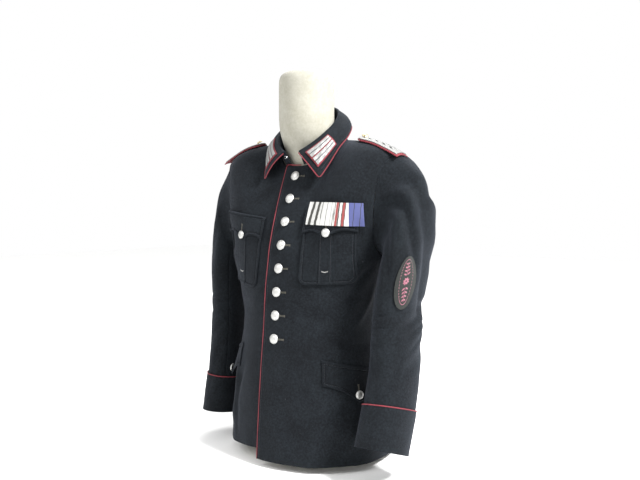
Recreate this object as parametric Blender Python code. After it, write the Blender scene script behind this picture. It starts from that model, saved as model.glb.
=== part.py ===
"""Military officer tunic on a limbless torso form.

Metres, +Z up. The front faces -Y and +X is the wearer's left. The flat base of the form is at z = 0.
The cloth is a wall of constant thickness on shapes worked out from the section tables below.
"""

from collections import namedtuple
from math import asin, cos, degrees, exp, pi, radians, sin, sqrt

import bmesh
import bpy
from mathutils import Vector

# Cloth, seams and what is laid on the cloth
WALL = 0.0018
SEAM = 0.0003
LAY = 0.0012
PIPE_RADIUS = 0.0012

# Body of the tunic
HEM_Z = 0.015
UNDERARM_Z = 0.450
MID_Y = -0.015
SIDE_SEAM = 97.0
FRONT_EDGE = 0.029
UNDER_LAP = 0.022
LAP_LIFT = 0.0016
LAP_FULL_X = 0.030
LAP_NONE_X = 0.070
RIGHT_HEM_RISE = 0.026

# Shoulders and neck
SHOULDER_X = 0.234
SHOULDER_Z = 0.664
SHOULDER_TURN_X = 0.202
NECK_X = 0.078
SHOULDER_SLOPE = 0.579
SHOULDER_HOLLOW = 1.93
RIDGE_Y = -0.010
YOKE_SPREAD = 0.050
THROAT_RISE = 0.052
NAPE_RISE = 0.084
NECK_SPREAD = 0.053
RIDGE_SHARP = 0.012
RIDGE_ROUND = 0.036
BODY_REACH = 0.19

# How the yoke's depth falls towards the shoulder, near the neck and near the arm
YokeSlope = namedtuple("YokeSlope", "fall_in fall_out bend_in bend_out")
YOKE_BACK = YokeSlope(2.2, 2.4, 1.6, 2.2)
YOKE_FRONT = YokeSlope(1.25, 2.6, 1.15, 2.4)
YOKE_TURN_X = 0.04
YOKE_TURN_WIDTH = 0.16

# Buttons
BUTTON_RADIUS = 0.0107
BUTTON_HEIGHT = 0.0058
BUTTON_TOP_Z = 0.627
BUTTON_PITCH = 0.0502
BUTTON_COUNT = 8
BUTTON_X = 0.002
BUTTON_REST = 0.0004
PIP_RADIUS = 0.0075
SMALL_BUTTON_RADIUS = 0.0092

# Round the body at each height: distances from the mid line, and how square the section is
Section = namedtuple("Section", "z half_width front back square")
BODY = [
    Section(0.000, 0.190, 0.173, 0.166, 2.10),
    Section(0.100, 0.187, 0.166, 0.162, 2.10),
    Section(0.200, 0.177, 0.157, 0.152, 2.15),
    Section(0.300, 0.161, 0.146, 0.133, 2.20),
    Section(0.380, 0.172, 0.139, 0.138, 2.35),
    Section(0.450, 0.196, 0.128, 0.147, 2.45),
]

# Soft flutes of the body cloth: angle round the body, width, heights between which it fades in, and depth
Flute = namedtuple("Flute", "angle spread z_none z_full depth")
FLUTES = [
    Flute(-62, 9, 0.300, 0.080, 0.0050),
    Flute(-40, 8, 0.280, 0.100, 0.0035),
    Flute(28, 10, 0.200, 0.020, 0.0045),
    Flute(68, 11, 0.290, 0.050, 0.0040),
    Flute(118, 12, 0.300, 0.030, 0.0055),
    Flute(152, 11, 0.280, 0.030, 0.0050),
    Flute(-118, 12, 0.300, 0.030, 0.0055),
    Flute(-150, 11, 0.280, 0.030, 0.0045),
]

# The armhole on the front and on the back: angle round the body and rise from the underarm to the shoulder
Armhole = namedtuple("Armhole", "share front_angle back_angle rise")
ARMHOLE = [
    Armhole(0.00, 97.0, 97.0, 0.000),
    Armhole(0.14, 83.0, 106.0, 0.022),
    Armhole(0.30, 71.0, 113.0, 0.120),
    Armhole(0.50, 64.5, 117.0, 0.330),
    Armhole(0.70, 61.5, 118.5, 0.590),
    Armhole(0.86, 62.5, 116.5, 0.810),
    Armhole(1.00, 70.0, 110.0, 1.000),
]

# The neckline: how far it rises on the front and on the back, at a distance from the mid plane
Neckline = namedtuple("Neckline", "x front_rise back_rise")
NECKLINE = [
    Neckline(0.000, 0.622, 0.880),
    Neckline(0.020, 0.628, 0.882),
    Neckline(0.040, 0.668, 0.893),
    Neckline(0.060, 0.790, 0.925),
    Neckline(0.072, 0.915, 0.965),
    Neckline(NECK_X, 1.000, 1.000),
]

# A sleeve from the armhole to its hem: the outer and inner lines seen from the front, the middle of the
# depth, half the depth, and how far the ring is turned and leans with the forearm
Station = namedtuple("Station", "share outer_x outer_z inner_x inner_z mid_y half_depth turn lean")
SLEEVE_LEFT = [
    Station(0.00, 0.236, 0.668, 0.200, 0.452, 0.000, 0.066, 0, 0),
    Station(0.08, 0.272, 0.650, 0.2025, 0.442, -0.010, 0.068, 2, 0),
    Station(0.18, 0.300, 0.604, 0.2035, 0.424, -0.028, 0.075, 5, 2),
    Station(0.30, 0.306, 0.525, 0.2040, 0.394, -0.043, 0.079, 8, 4),
    Station(0.44, 0.300, 0.430, 0.2050, 0.352, -0.054, 0.077, 11, 6),
    Station(0.56, 0.290, 0.340, 0.2040, 0.300, -0.065, 0.067, 13, 8),
    Station(0.70, 0.290, 0.240, 0.2030, 0.224, -0.074, 0.062, 15, 12),
    Station(0.86, 0.289, 0.150, 0.2010, 0.144, -0.094, 0.062, 15, 18),
    Station(1.00, 0.284, 0.064, 0.1980, 0.062, -0.120, 0.061, 15, 20),
]
SLEEVE_RIGHT = [
    Station(0.00, 0.236, 0.668, 0.200, 0.452, 0.000, 0.066, 0, 0),
    Station(0.08, 0.250, 0.646, 0.2025, 0.442, -0.004, 0.068, 2, 0),
    Station(0.18, 0.262, 0.602, 0.2030, 0.424, -0.010, 0.070, 4, 2),
    Station(0.30, 0.276, 0.520, 0.2035, 0.394, -0.014, 0.070, 5, 2),
    Station(0.44, 0.284, 0.430, 0.2040, 0.352, -0.016, 0.067, 6, 3),
    Station(0.56, 0.284, 0.340, 0.2040, 0.300, -0.020, 0.063, 7, 5),
    Station(0.70, 0.284, 0.240, 0.2050, 0.224, -0.027, 0.061, 8, 6),
    Station(0.86, 0.288, 0.150, 0.2060, 0.144, -0.036, 0.061, 8, 6),
    Station(1.00, 0.292, 0.062, 0.2070, 0.060, -0.046, 0.061, 8, 6),
]

# Folds of a sleeve: each runs slanting from one share and angle to another. Angle 0 is the outer line and
# 90 the front. A negative depth is a trough.
SleeveFold = namedtuple("SleeveFold", "share_from angle_from share_to angle_to spread depth")
FOLDS_LEFT = [
    SleeveFold(0.06, 50, 0.52, -32, 15, -0.0085),
    SleeveFold(0.10, 22, 0.44, -52, 13, 0.0045),
    SleeveFold(0.50, -78, 0.60, 20, 20, -0.0060),
    SleeveFold(0.62, -70, 0.76, 40, 24, -0.0035),
]
FOLDS_RIGHT = [
    SleeveFold(0.08, 20, 0.50, -50, 15, -0.0060),
    SleeveFold(0.06, 95, 0.40, 60, 13, -0.0035),
    SleeveFold(0.50, -70, 0.60, 40, 20, -0.0050),
]
SLEEVE_HEAD_GAP = 0.0042
UNDERARM_OUT = 0.0012
UNDERARM_UP = 0.0028
UNDERARM_TURN = 60
UNDERARM_SPREAD = 100
SLEEVE_REACH = 0.055
SLEEVE_LENGTH = 0.66
HEAD_SHARE = 0.16
FRONT_SLEEVE_SEAM = 128.0
BACK_SLEEVE_SEAM = -112.0

# Collar, by angle round the neck from the centre front: the fold line and the outer edge of the leaf
NECK_MID_Y = -0.034
FOLD_RADIUS = 0.0685
FOLD_FRONT_Z = 0.673
FOLD_RISE = 0.118
FOLD_START = 17.0
FOLD_BEND = 0.0024
LEAF_BULGE = 0.005
LEAF_BULGE_UP = 0.6
SEAM_BEYOND = 0.0022
SEAM_RISE = 0.0014
LeafEdge = namedtuple("LeafEdge", "share x y z")
LEAF_EDGE = [
    LeafEdge(0.00, 0.0750, -0.1010, 0.6230),
    LeafEdge(0.16, 0.0870, -0.0800, 0.6560),
    LeafEdge(0.32, 0.0960, -0.0560, 0.6905),
    LeafEdge(0.48, 0.0990, -0.0250, 0.7160),
    LeafEdge(0.64, 0.0870, 0.0100, 0.7400),
    LeafEdge(0.82, 0.0560, 0.0440, 0.7500),
    LeafEdge(1.00, 0.0000, 0.0600, 0.7520),
]

# Trims
CUFF_HEIGHT = 0.091
CUFF_GAP = 0.0010
CUFF_END = 1.004
CUFF_PIPE_ABOVE = 0.0026
CUFF_PIPE_LIFT = 0.0004
BOARD_INNER_X = 0.134
BOARD_OUTER_X = 0.236
BOARD_WIDTH = 0.044
BOARD_Y = -0.030
BOARD_BOW = 0.070
BOARD_REST = 0.0019
BOARD_MARGIN = 0.0022
BOARD_UNDERLAY = 0.0022
BOARD_BRAID = 0.0030
PIP_INSET = 0.013
PIP_STAND = 0.0022
PIP_LEAN_X = 0.41
PIP_LEAN_Y = -0.38

# Torso form
FORM_INSET = 0.009
FORM_SEAT = 0.0023
FORM_NECK_DROP = 0.016
FORM_FOOT_INSET = 0.040
FORM_FOOT_TURN_Z = 0.120
NECK_COLUMN_RADIUS = 0.0630
NECK_FOOT_Y = -0.005
NECK_HEAD_Y = -0.043
NECK_TOP_Z = 0.862
NECK_FOOT_Z = 0.560
NECK_BEND_Z = 0.645
NECK_BEND_HEIGHT = 0.105
NECK_TOP_ROUND = 0.020
NECK_CROWN = 0.002
FORM_NARROW = 0.94

# How finely each piece is divided
FRONT_COLUMNS = 11
BACK_COLUMNS = 9
SKIRT_ROWS = 9
YOKE_SHARES = (0.0, 0.08, 0.18, 0.30, 0.42, 0.54, 0.66, 0.77, 0.86, 0.93, 0.975, 1.0)
SLEEVE_ROWS = 15
UPPER_SLEEVE_COLUMNS = 13
UNDER_SLEEVE_COLUMNS = 6


def mix(a, b, share):
    return a + (b - a) * share


def ease(share):
    share = min(max(share, 0.0), 1.0)
    return share * share * (3 - 2 * share)


def read(table, at, key=None):
    """The row of a table at a value of its first column, on a smooth curve through its rows."""
    kind = type(table[0])
    at = min(max(at, table[0][0]), table[-1][0])
    k = 0
    while k < len(table) - 2 and at > table[k + 1][0]:
        k += 1
    low, high = table[k], table[k + 1]
    step = high[0] - low[0]
    share = (at - low[0]) / step

    def slope(i, column):
        a, b = table[max(i - 1, 0)], table[min(i + 1, len(table) - 1)]
        return (b[column] - a[column]) / (b[0] - a[0])

    values = [at]
    for column in range(1, len(low)):
        h00 = 2 * share**3 - 3 * share**2 + 1
        h10 = share**3 - 2 * share**2 + share
        h01 = 1 - h00
        h11 = share**3 - share**2
        value = h00 * low[column] + h01 * high[column]
        value += step * (h10 * slope(k, column) + h11 * slope(k + 1, column))
        values.append(value)
    return kind(*values)


def power(value, exponent):
    return abs(value) ** exponent * (1 if value >= 0 else -1)


# Body shape

def ridge_radius(x):
    """How round the top of the shoulder is: sharper at the neck than at the tip."""
    return mix(RIDGE_SHARP, RIDGE_ROUND, ease((abs(x) - NECK_X) / 0.12))


def ridge_z(x, back, throat=True):
    """Height of the peak that the front and back slopes of the yoke rise towards."""
    inward = SHOULDER_X - max(abs(x), 0.085)
    top = SHOULDER_Z + SHOULDER_SLOPE * inward - SHOULDER_HOLLOW * inward * inward + ridge_radius(x)
    rise = (NAPE_RISE if back else THROAT_RISE) if throat else -FORM_NECK_DROP
    return top + rise * exp(-((x / NECK_SPREAD) ** 4))


def ridge_top(x):
    """Height of the cloth on the shoulder line."""
    return ridge_z(x, False) - ridge_radius(x)


def flute_depth(angle, z):
    depth = 0.0
    for flute in FLUTES:
        fade = ease((flute.z_none - z) / (flute.z_none - flute.z_full))
        depth += flute.depth * fade * exp(-(((angle - flute.angle) / flute.spread) ** 2))
    return depth


def skirt(angle, z, inset=0.0):
    """Point of the body below the underarm, at an angle from the centre front."""
    section = read(BODY, z)
    a = radians(angle)
    grow = flute_depth(angle, z) - inset
    exponent = 2 / section.square
    depth = section.front if cos(a) >= 0 else section.back
    x = (section.half_width + grow) * power(sin(a), exponent)
    y = MID_Y - (depth + grow) * power(cos(a), exponent)
    return Vector((x, y, z))


def yoke_slope(x, back):
    """How the yoke's depth falls from the underarm to the ridge."""
    outward = ease((abs(x) - YOKE_TURN_X) / YOKE_TURN_WIDTH)
    slope = YOKE_BACK if back else YOKE_FRONT
    return mix(slope.fall_in, slope.fall_out, outward), mix(slope.bend_in, slope.bend_out, outward)


def yoke(angle, rise, inset=0.0, narrow=1.0, throat=True):
    """Point of the body above the underarm. Rise runs from 0 at the underarm to 1 at the shoulder."""
    section = read(BODY, UNDERARM_Z)
    a = radians(angle)
    exponent = 2 / section.square
    back = cos(a) < 0
    x = (section.half_width + YOKE_SPREAD * rise - inset) * narrow * power(sin(a), exponent)
    depth = (section.back if back else section.front) - inset
    widest = MID_Y - depth * power(cos(a), exponent)
    fall, bend = yoke_slope(x, back)
    share = max(1 - rise**fall, 0.0) ** (1 / bend)
    y = RIDGE_Y + (widest - RIDGE_Y) * share
    peak = ridge_z(x, back, throat)
    drop = (1 - rise) * (peak - UNDERARM_Z)
    z = peak - sqrt(drop * drop + rise * ridge_radius(x) ** 2) - inset * rise
    return Vector((x, y, z))


def body(angle, level, inset=0.0):
    """Level -1 is the hem, 0 the underarm and 1 the shoulder seam."""
    if level <= 0:
        return skirt(angle, mix(UNDERARM_Z, HEM_Z, -level), inset)
    return yoke(angle, level, inset)


def angle_at(x, level):
    """The angle at which the body reaches a distance x from its mid plane, on the front."""
    section = read(BODY, mix(UNDERARM_Z, HEM_Z, max(-level, 0.0)))
    half = section.half_width + YOKE_SPREAD * max(level, 0.0)
    reach = min(abs(x) / half, 1.0)
    return degrees(asin(reach ** (section.square / 2))) * (1 if x >= 0 else -1)


def level_at(x, z):
    """The level at which the front passes a height z, at a distance x from the mid plane."""
    if z <= UNDERARM_Z:
        return (z - UNDERARM_Z) / (UNDERARM_Z - HEM_Z)
    peak = ridge_z(x, False)
    level = (z - UNDERARM_Z) / (peak - UNDERARM_Z)
    for _ in range(4):
        drop = sqrt(max((peak - z) ** 2 - level * ridge_radius(x) ** 2, 0.0))
        level = 1 - drop / (peak - UNDERARM_Z)
    return level


def lap_lift(side, x):
    """The left front is lifted where it laps over the right front, which is let in there."""
    inner = x if side > 0 else -x
    return side * LAP_LIFT * ease((LAP_NONE_X - inner) / (LAP_NONE_X - LAP_FULL_X))


def body_normal(angle, level):
    step_a, step_l = 0.5, 0.004
    across = body(angle + step_a, level) - body(angle - step_a, level)
    low, high = max(level - step_l, -1.0), min(level + step_l, 0.999)
    up = body(angle, high) - body(angle, low)
    return across.cross(up).normalized()


def on_front(side, x, z, height):
    """Point at a height above the outer face of a front, at x and z seen from the front."""
    level = level_at(x, z)
    angle = angle_at(x, level)
    normal = body_normal(angle, level)
    return body(angle, level) + normal * (lap_lift(side, x) + WALL / 2 + height)


def on_skirt(angle, z, height):
    """Point at a height above the outer face of the skirt, at an angle round the body."""
    level = (z - UNDERARM_Z) / (UNDERARM_Z - HEM_Z)
    point = body(angle, level)
    return point + body_normal(angle, level) * (lap_lift(1 if angle > 0 else -1, point.x) + WALL / 2 + height)


# Meshes

def make_object(name, mesh_points, faces, material):
    mesh = bpy.data.meshes.new(name)
    mesh.from_pydata([tuple(p) for p in mesh_points], [], faces)
    work = bmesh.new()
    work.from_mesh(mesh)
    bmesh.ops.recalc_face_normals(work, faces=work.faces)
    work.to_mesh(mesh)
    work.free()
    mesh.materials.append(material)
    mesh.shade_smooth()
    mesh.set_sharp_from_angle(angle=radians(38))
    thing = bpy.data.objects.new(name, mesh)
    bpy.context.scene.collection.objects.link(thing)
    return thing


def shell(name, outer, inner, material, closed=False):
    """A wall between two grids of points. Closed grids meet again after their last column."""
    rows, columns = len(outer), len(outer[0])
    points = [p for row in outer for p in row] + [p for row in inner for p in row]
    shift = rows * columns
    spans = columns if closed else columns - 1
    faces = []
    for i in range(rows - 1):
        for j in range(spans):
            k = (j + 1) % columns
            a, b, c, d = i * columns + j, i * columns + k, (i + 1) * columns + k, (i + 1) * columns + j
            faces.append((a, b, c, d))
            faces.append((d + shift, c + shift, b + shift, a + shift))
    for j in range(spans):
        k = (j + 1) % columns
        last = (rows - 1) * columns
        faces.append((j, j + shift, k + shift, k))
        faces.append((last + k, last + k + shift, last + j + shift, last + j))
    if not closed:
        for i in range(rows - 1):
            a, b = i * columns, (i + 1) * columns
            faces.append((b, b + shift, a + shift, a))
            c, d = a + columns - 1, b + columns - 1
            faces.append((c, c + shift, d + shift, d))
    return make_object(name, points, faces, material)


def grid_normals(grid):
    rows, columns = len(grid), len(grid[0])
    normals = []
    for i in range(rows):
        line = []
        for j in range(columns):
            left, right = grid[i][max(j - 1, 0)], grid[i][min(j + 1, columns - 1)]
            below, above = grid[max(i - 1, 0)][j], grid[min(i + 1, rows - 1)][j]
            line.append((right - left).cross(above - below).normalized())
        normals.append(line)
    return normals


def thicken(name, grid, material):
    """A wall of even thickness whose middle is the grid."""
    half = WALL / 2
    sides = []
    for height in (-half, half):
        sides.append([[p + n * height for p, n in zip(*rows)] for rows in zip(grid, grid_normals(grid))])
    return shell(name, sides[0], sides[1], material)


def tube(name, path, radius, material, sides=6, closed=False):
    """A round cord of piping along a path."""
    count = len(path)
    rings = []
    side = None
    for i, point in enumerate(path):
        before = path[(i - 1) % count] if closed or i else path[0]
        after = path[(i + 1) % count] if closed or i < count - 1 else path[-1]
        along = (after - before).normalized()
        if side is None:
            side = along.orthogonal().normalized()
        side = (side - along * side.dot(along)).normalized()
        other = along.cross(side)
        turns = [2 * pi * k / sides for k in range(sides)]
        rings.append([point + (side * cos(t) + other * sin(t)) * radius for t in turns])
    points = [p for ring in rings for p in ring]
    faces = []
    for i in range(count if closed else count - 1):
        low, high = i * sides, ((i + 1) % count) * sides
        turn = 0
        if closed and i == count - 1:
            gaps = [(rings[0][k] - rings[-1][0]).length for k in range(sides)]
            turn = gaps.index(min(gaps))
        for k in range(sides):
            m = (k + 1) % sides
            faces.append((low + k, low + m, high + (m + turn) % sides, high + (k + turn) % sides))
    if not closed:
        faces.append(tuple(reversed(range(sides))))
        faces.append(tuple(range((count - 1) * sides, count * sides)))
    return make_object(name, points, faces, material)


def paint(name, red, green, blue, roughness, metallic=0.0):
    material = bpy.data.materials.new(name)
    material.use_nodes = True
    shader = material.node_tree.nodes["Principled BSDF"]
    shader.inputs["Base Color"].default_value = (red, green, blue, 1)
    shader.inputs["Roughness"].default_value = roughness
    shader.inputs["Metallic"].default_value = metallic
    return material


# Body panels

def panel(name, left, right, material, lift=None):
    """A panel between two boundaries, each a list of angle and level pairs with a row for each."""
    columns = BACK_COLUMNS if name.startswith("back") else FRONT_COLUMNS
    outer, inner = [], []
    for (angle_0, level_0), (angle_1, level_1) in zip(left, right):
        row_out, row_in = [], []
        for j in range(columns + 1):
            share = j / columns
            angle, level = mix(angle_0, angle_1, share), mix(level_0, level_1, share)
            point, normal = body(angle, level), body_normal(angle, level)
            up = lift(point.x) if lift else 0.0
            row_out.append(point + normal * (up + WALL / 2))
            row_in.append(point + normal * (up - WALL / 2))
        outer.append(row_out)
        inner.append(row_in)
    return shell(name, outer, inner, material)


def row_shares():
    """Rows of a panel: hem to underarm, then the armhole beside the neckline."""
    skirt_part = [-1 + i / SKIRT_ROWS for i in range(SKIRT_ROWS)]
    return skirt_part, YOKE_SHARES


CHEST_SHARE = 0.42
TOP_LEVEL = 0.9995


def neck_x(start, share):
    """Steps along the neckline from its start to the shoulder seam, closer together at the seam."""
    return mix(start, NECK_X, sin(pi / 2 * share))


def front_boundaries(side):
    """Centre and side boundaries of a front, as angle and level pairs from the hem up."""
    skirt_part, yoke_part = row_shares()
    edge_x = -FRONT_EDGE if side > 0 else -UNDER_LAP
    centre, outside = [], []
    gap = degrees(SEAM / 2 / BODY_REACH)
    for level in skirt_part:
        hem_rise = RIGHT_HEM_RISE / (UNDERARM_Z - HEM_Z) if side < 0 else 0.0
        lifted = level + hem_rise * max(-level, 0.0) ** 6
        centre.append((angle_at(edge_x * side, lifted), lifted))
        outside.append(((SIDE_SEAM - gap) * side, level))
    for share in yoke_part:
        if share < CHEST_SHARE:
            level = read(NECKLINE, abs(edge_x)).front_rise * share / CHEST_SHARE
            centre.append((angle_at(edge_x * side, level), level))
        else:
            x = neck_x(edge_x, (share - CHEST_SHARE) / (1 - CHEST_SHARE))
            level = min(read(NECKLINE, abs(x)).front_rise, TOP_LEVEL)
            centre.append((angle_at(x * side, level), level))
        arm = read(ARMHOLE, share)
        outside.append(((arm.front_angle - gap) * side, min(arm.rise, TOP_LEVEL)))
    return centre, outside


def back_boundaries(side):
    """Centre and side boundaries of a back, as angle and level pairs from the hem up."""
    skirt_part, yoke_part = row_shares()
    gap = degrees(SEAM / 2 / BODY_REACH)
    centre, outside = [], []
    for level in skirt_part:
        centre.append(((180 - 2 * gap) * side, level))
        outside.append(((SIDE_SEAM + gap) * side, level))
    for share in yoke_part:
        if share < CHEST_SHARE:
            level = NECKLINE[0].back_rise * share / CHEST_SHARE
            centre.append(((180 - 2 * gap) * side, level))
        else:
            x = neck_x(0.0, (share - CHEST_SHARE) / (1 - CHEST_SHARE))
            level = min(read(NECKLINE, x).back_rise, TOP_LEVEL)
            centre.append((min(180 - angle_at(x, level), 180 - 2 * gap) * side, level))
        arm = read(ARMHOLE, share)
        outside.append(((arm.back_angle + gap) * side, min(arm.rise, TOP_LEVEL)))
    return centre, outside


# Sleeves

def armhole_point(turn):
    """Point of the armhole edge. Turn 0 is the shoulder, 90 the front, 180 the underarm and -90 the back."""
    share = 1 - abs(turn) / 180
    arm = read(ARMHOLE, share)
    angle = arm.front_angle if turn >= 0 else arm.back_angle
    return body(angle, min(arm.rise, TOP_LEVEL)), body_normal(angle, min(arm.rise, TOP_LEVEL))


def fold_depth(folds, turn, share):
    depth = 0.0
    for fold in folds:
        along = (share - fold.share_from) / (fold.share_to - fold.share_from)
        at = mix(fold.angle_from, fold.angle_to, min(max(along, 0.0), 1.0))
        away = (turn - at + 180) % 360 - 180
        fade = ease((along + 0.15) / 0.3) * ease((1.15 - along) / 0.3)
        depth += fold.depth * fade * exp(-((away / fold.spread) ** 2))
    return depth


def sleeve_point(stations, folds, turn, share, height=0.0):
    """Point of a left sleeve's middle surface, moved out by a height."""
    station = read(stations, share)
    outer = Vector((station.outer_x, station.mid_y, station.outer_z))
    inner = Vector((station.inner_x, station.mid_y, station.inner_z))
    centre = (outer + inner) / 2
    across = (outer - inner).normalized()
    half_width = (outer - inner).length / 2
    lean = radians(station.lean)
    front = Vector((0, -cos(lean), sin(lean)))
    t, twist = radians(turn), radians(station.turn)
    grow = fold_depth(folds, turn, share) + height
    p = (half_width + grow) * cos(t)
    q = (station.half_depth + grow) * sin(t)
    ring = centre + across * (p * cos(twist) - q * sin(twist)) + front * (p * sin(twist) + q * cos(twist))
    hold = 1 - ease(share / HEAD_SHARE)
    if hold <= 0:
        return ring
    edge, normal = armhole_point((turn + 180) % 360 - 180)
    low = ease((abs((turn + 180) % 360 - 180) - UNDERARM_TURN) / UNDERARM_SPREAD)
    leave = Vector((mix(SLEEVE_HEAD_GAP, UNDERARM_OUT, low), 0, UNDERARM_UP * low))
    return ring.lerp(edge + leave + normal * height, hold)


def sleeve_grid(stations, folds, turns, shares, height=0.0):
    return [[sleeve_point(stations, folds, turn, share, height) for turn in turns] for share in shares]


def mirror_grid(grid):
    return [[Vector((-p.x, p.y, p.z)) for p in row] for row in grid]


def spaced(start, end, count):
    return [mix(start, end, k / count) for k in range(count + 1)]


def sleeve(side_name, side, stations, folds, material):
    shares = [(k / SLEEVE_ROWS) ** 1.15 for k in range(SLEEVE_ROWS + 1)]
    gap = degrees(SEAM / 2 / SLEEVE_REACH)
    upper = spaced(BACK_SLEEVE_SEAM + gap, FRONT_SLEEVE_SEAM - gap, UPPER_SLEEVE_COLUMNS)
    under = spaced(FRONT_SLEEVE_SEAM + gap, BACK_SLEEVE_SEAM + 360 - gap, UNDER_SLEEVE_COLUMNS)
    for part, turns in (("upper", upper), ("under", under)):
        outer = sleeve_grid(stations, folds, turns, shares, WALL / 2)
        inner = sleeve_grid(stations, folds, turns, shares, -WALL / 2)
        if side < 0:
            outer, inner = mirror_grid(outer), mirror_grid(inner)
        shell(f"sleeve_{part}_{side_name}", outer, inner, material)


def cuff(side_name, side, stations, folds, cloth, red):
    turns = spaced(0, 360, 20)[:-1]
    top = 1 - CUFF_HEIGHT / SLEEVE_LENGTH
    shares = spaced(top, CUFF_END, 4)
    outer = sleeve_grid(stations, folds, turns, shares, WALL * 1.5 + CUFF_GAP)
    inner = sleeve_grid(stations, folds, turns, shares, WALL * 0.5 + CUFF_GAP)
    above = [top - CUFF_PIPE_ABOVE]
    ring = sleeve_grid(stations, folds, turns, above, WALL + CUFF_GAP + CUFF_PIPE_LIFT)[0]
    if side < 0:
        outer, inner, ring = mirror_grid(outer), mirror_grid(inner), mirror_grid([ring])[0]
    shell(f"cuff_{side_name}", outer, inner, cloth, closed=True)
    tube(f"cuff_piping_{side_name}", ring, PIPE_RADIUS, red, closed=True)


# Collar

COLLAR_END_X = 0.017


def neckline_at(share):
    """The neckline of the left half: 0 at the collar's front end and 1 at the centre back."""
    back = share > 0.5
    if back:
        x = neck_x(0.0, 2 - share * 2)
    else:
        x = neck_x(COLLAR_END_X, share * 2)
    row = read(NECKLINE, x)
    level = min(row.back_rise if back else row.front_rise, TOP_LEVEL)
    angle = angle_at(x, level)
    angle = 180 - angle if back else angle
    return body(angle, level), body_normal(angle, level)


def neck_seam(share):
    """Foot of the collar, just beyond the edge of the neckline."""
    low, high = max(share - 0.02, 0.0), min(share + 0.02, 1.0)
    point, normal = neckline_at(share)
    along = (neckline_at(high)[0] - neckline_at(low)[0]).normalized()
    beyond = normal.cross(along).normalized()
    if beyond.dot(Vector((point.x, point.y - NECK_MID_Y, 0))) > 0:
        beyond = -beyond
    return point + beyond * SEAM_BEYOND + Vector((0, 0, SEAM_RISE))


def fold_point(share):
    turn = radians(mix(FOLD_START, 180, share))
    z = FOLD_FRONT_Z + FOLD_RISE * sin(turn / 2) ** 1.5
    return Vector((FOLD_RADIUS * sin(turn), NECK_MID_Y - FOLD_RADIUS * cos(turn), z))


def leaf_point(share, down):
    """Point of the left collar leaf: down 0 is the fold and 1 the outer edge."""
    fold = fold_point(share)
    away = Vector((fold.x, fold.y - NECK_MID_Y, 0)).normalized()
    edge = read(LEAF_EDGE, share)
    start = fold + away * FOLD_BEND
    end = Vector((edge.x, edge.y, edge.z))
    bulge = (away + Vector((0, 0, LEAF_BULGE_UP))) * LEAF_BULGE * sin(pi * down)
    return start.lerp(end, down) + bulge


def leaf_normal(share, down):
    low, high = max(share - 0.01, 0.0), min(share + 0.01, 1.0)
    along = leaf_point(high, down) - leaf_point(low, down)
    across = leaf_point(share, min(down + 0.02, 1.0)) - leaf_point(share, max(down - 0.02, 0.0))
    return across.cross(along).normalized()


def collar_column(share, side):
    """Points from the neck seam up the stand, over the fold and down the leaf."""
    fold = fold_point(share)
    away = Vector((fold.x, fold.y - NECK_MID_Y, 0)).normalized()
    point, normal = neckline_at(share)
    seam = neck_seam(share) + normal * lap_lift(side, point.x * side)
    top = fold - away * FOLD_BEND
    column = [seam.lerp(top, k / 3) for k in range(4)]
    column.append(fold + Vector((0, 0, FOLD_BEND)))
    column += [leaf_point(share, k / 4) for k in range(5)]
    return column


def collar(cloth, red):
    shares = spaced(0, 1, 15)
    left = [collar_column(share, 1) for share in shares]
    right = mirror_grid([collar_column(share, -1) for share in shares])
    columns = right[:-1] + [left[-1]] + list(reversed(left[:-1]))
    grid = [[column[i] for column in columns] for i in range(len(columns[0]))]
    thicken("collar", grid, cloth)
    step = PIPE_RADIUS + SEAM * 1.6
    front, outside = [], []
    for down in spaced(0.04, 0.90, 6):
        along = (leaf_point(0, down + 0.02) - leaf_point(0, down - 0.02)).normalized()
        away = along.cross(leaf_normal(0, down))
        if away.x > 0:
            away = -away
        front.append(leaf_point(0, down) + away * step)
    for share in shares[1:]:
        away = (leaf_point(share, 1) - leaf_point(share, 0.75)).normalized()
        outside.append(leaf_point(share, 1) + away * step)
    tip_away = (leaf_point(0, 1) - leaf_point(0.1, 0.75)).normalized()
    tip = leaf_point(0, 1) + tip_away * step * 1.5
    half = front + [tip] + outside
    other = [Vector((-p.x, p.y, p.z)) for p in reversed(half[:-1])]
    tube("collar_piping", half + other, PIPE_RADIUS, red)


# Patches laid on other pieces

def patch(name, outline, place, low, high, material, rows=1):
    """A plate between two heights. The outline gives, for each column, its lower and upper ends."""
    outer, inner = [], []
    for i in range(rows + 1):
        row_out, row_in = [], []
        for column in outline:
            u, v = mix(column[0][0], column[1][0], i / rows), mix(column[0][1], column[1][1], i / rows)
            base = low(u, v) if callable(low) else low
            top = high(u, v) if callable(high) else high
            row_out.append(place(u, v, top))
            row_in.append(place(u, v, base))
        outer.append(row_out)
        inner.append(row_in)
    return shell(name, outer, inner, material)


POCKET_INNER_X = 0.055
POCKET_OUTER_X = 0.171
POCKET_TAPER = 0.008
POCKET_BOTTOM_Z = 0.396
POCKET_TOP_Z = 0.537
POCKET_LEAN = {1: 0.006, -1: 0.018}
POCKET_SHIFT = {1: (0.0, 0.0), -1: (0.003, -0.008)}
POCKET_CORNER = 0.018
POCKET_WALL = 0.0015
PLEAT_HALF = 0.0125
PLEAT_RAISE = 0.0014
FLAP_TOP_Z = 0.552
FLAP_TIP_Z = 0.494
FLAP_CORNER_Z = 0.503
FLAP_SCALLOP = 0.009
FLAP_AIR = 0.0006
FLAP_BASE = LAY + POCKET_WALL + PLEAT_RAISE + FLAP_AIR
FLAP_BUTTON_RISE = 0.0105
FLAP_OVERHANG = 0.0025
FLAP_HINGE_ABOVE = 0.003
FLAP_HINGE_HEIGHT = 0.010
PLEAT_FOLD = 0.0015
POCKET_MID_X = (POCKET_INNER_X + POCKET_OUTER_X) / 2


def pleat_raise(step):
    return PLEAT_RAISE * ease((PLEAT_HALF + PLEAT_FOLD - abs(step)) / PLEAT_FOLD)


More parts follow.
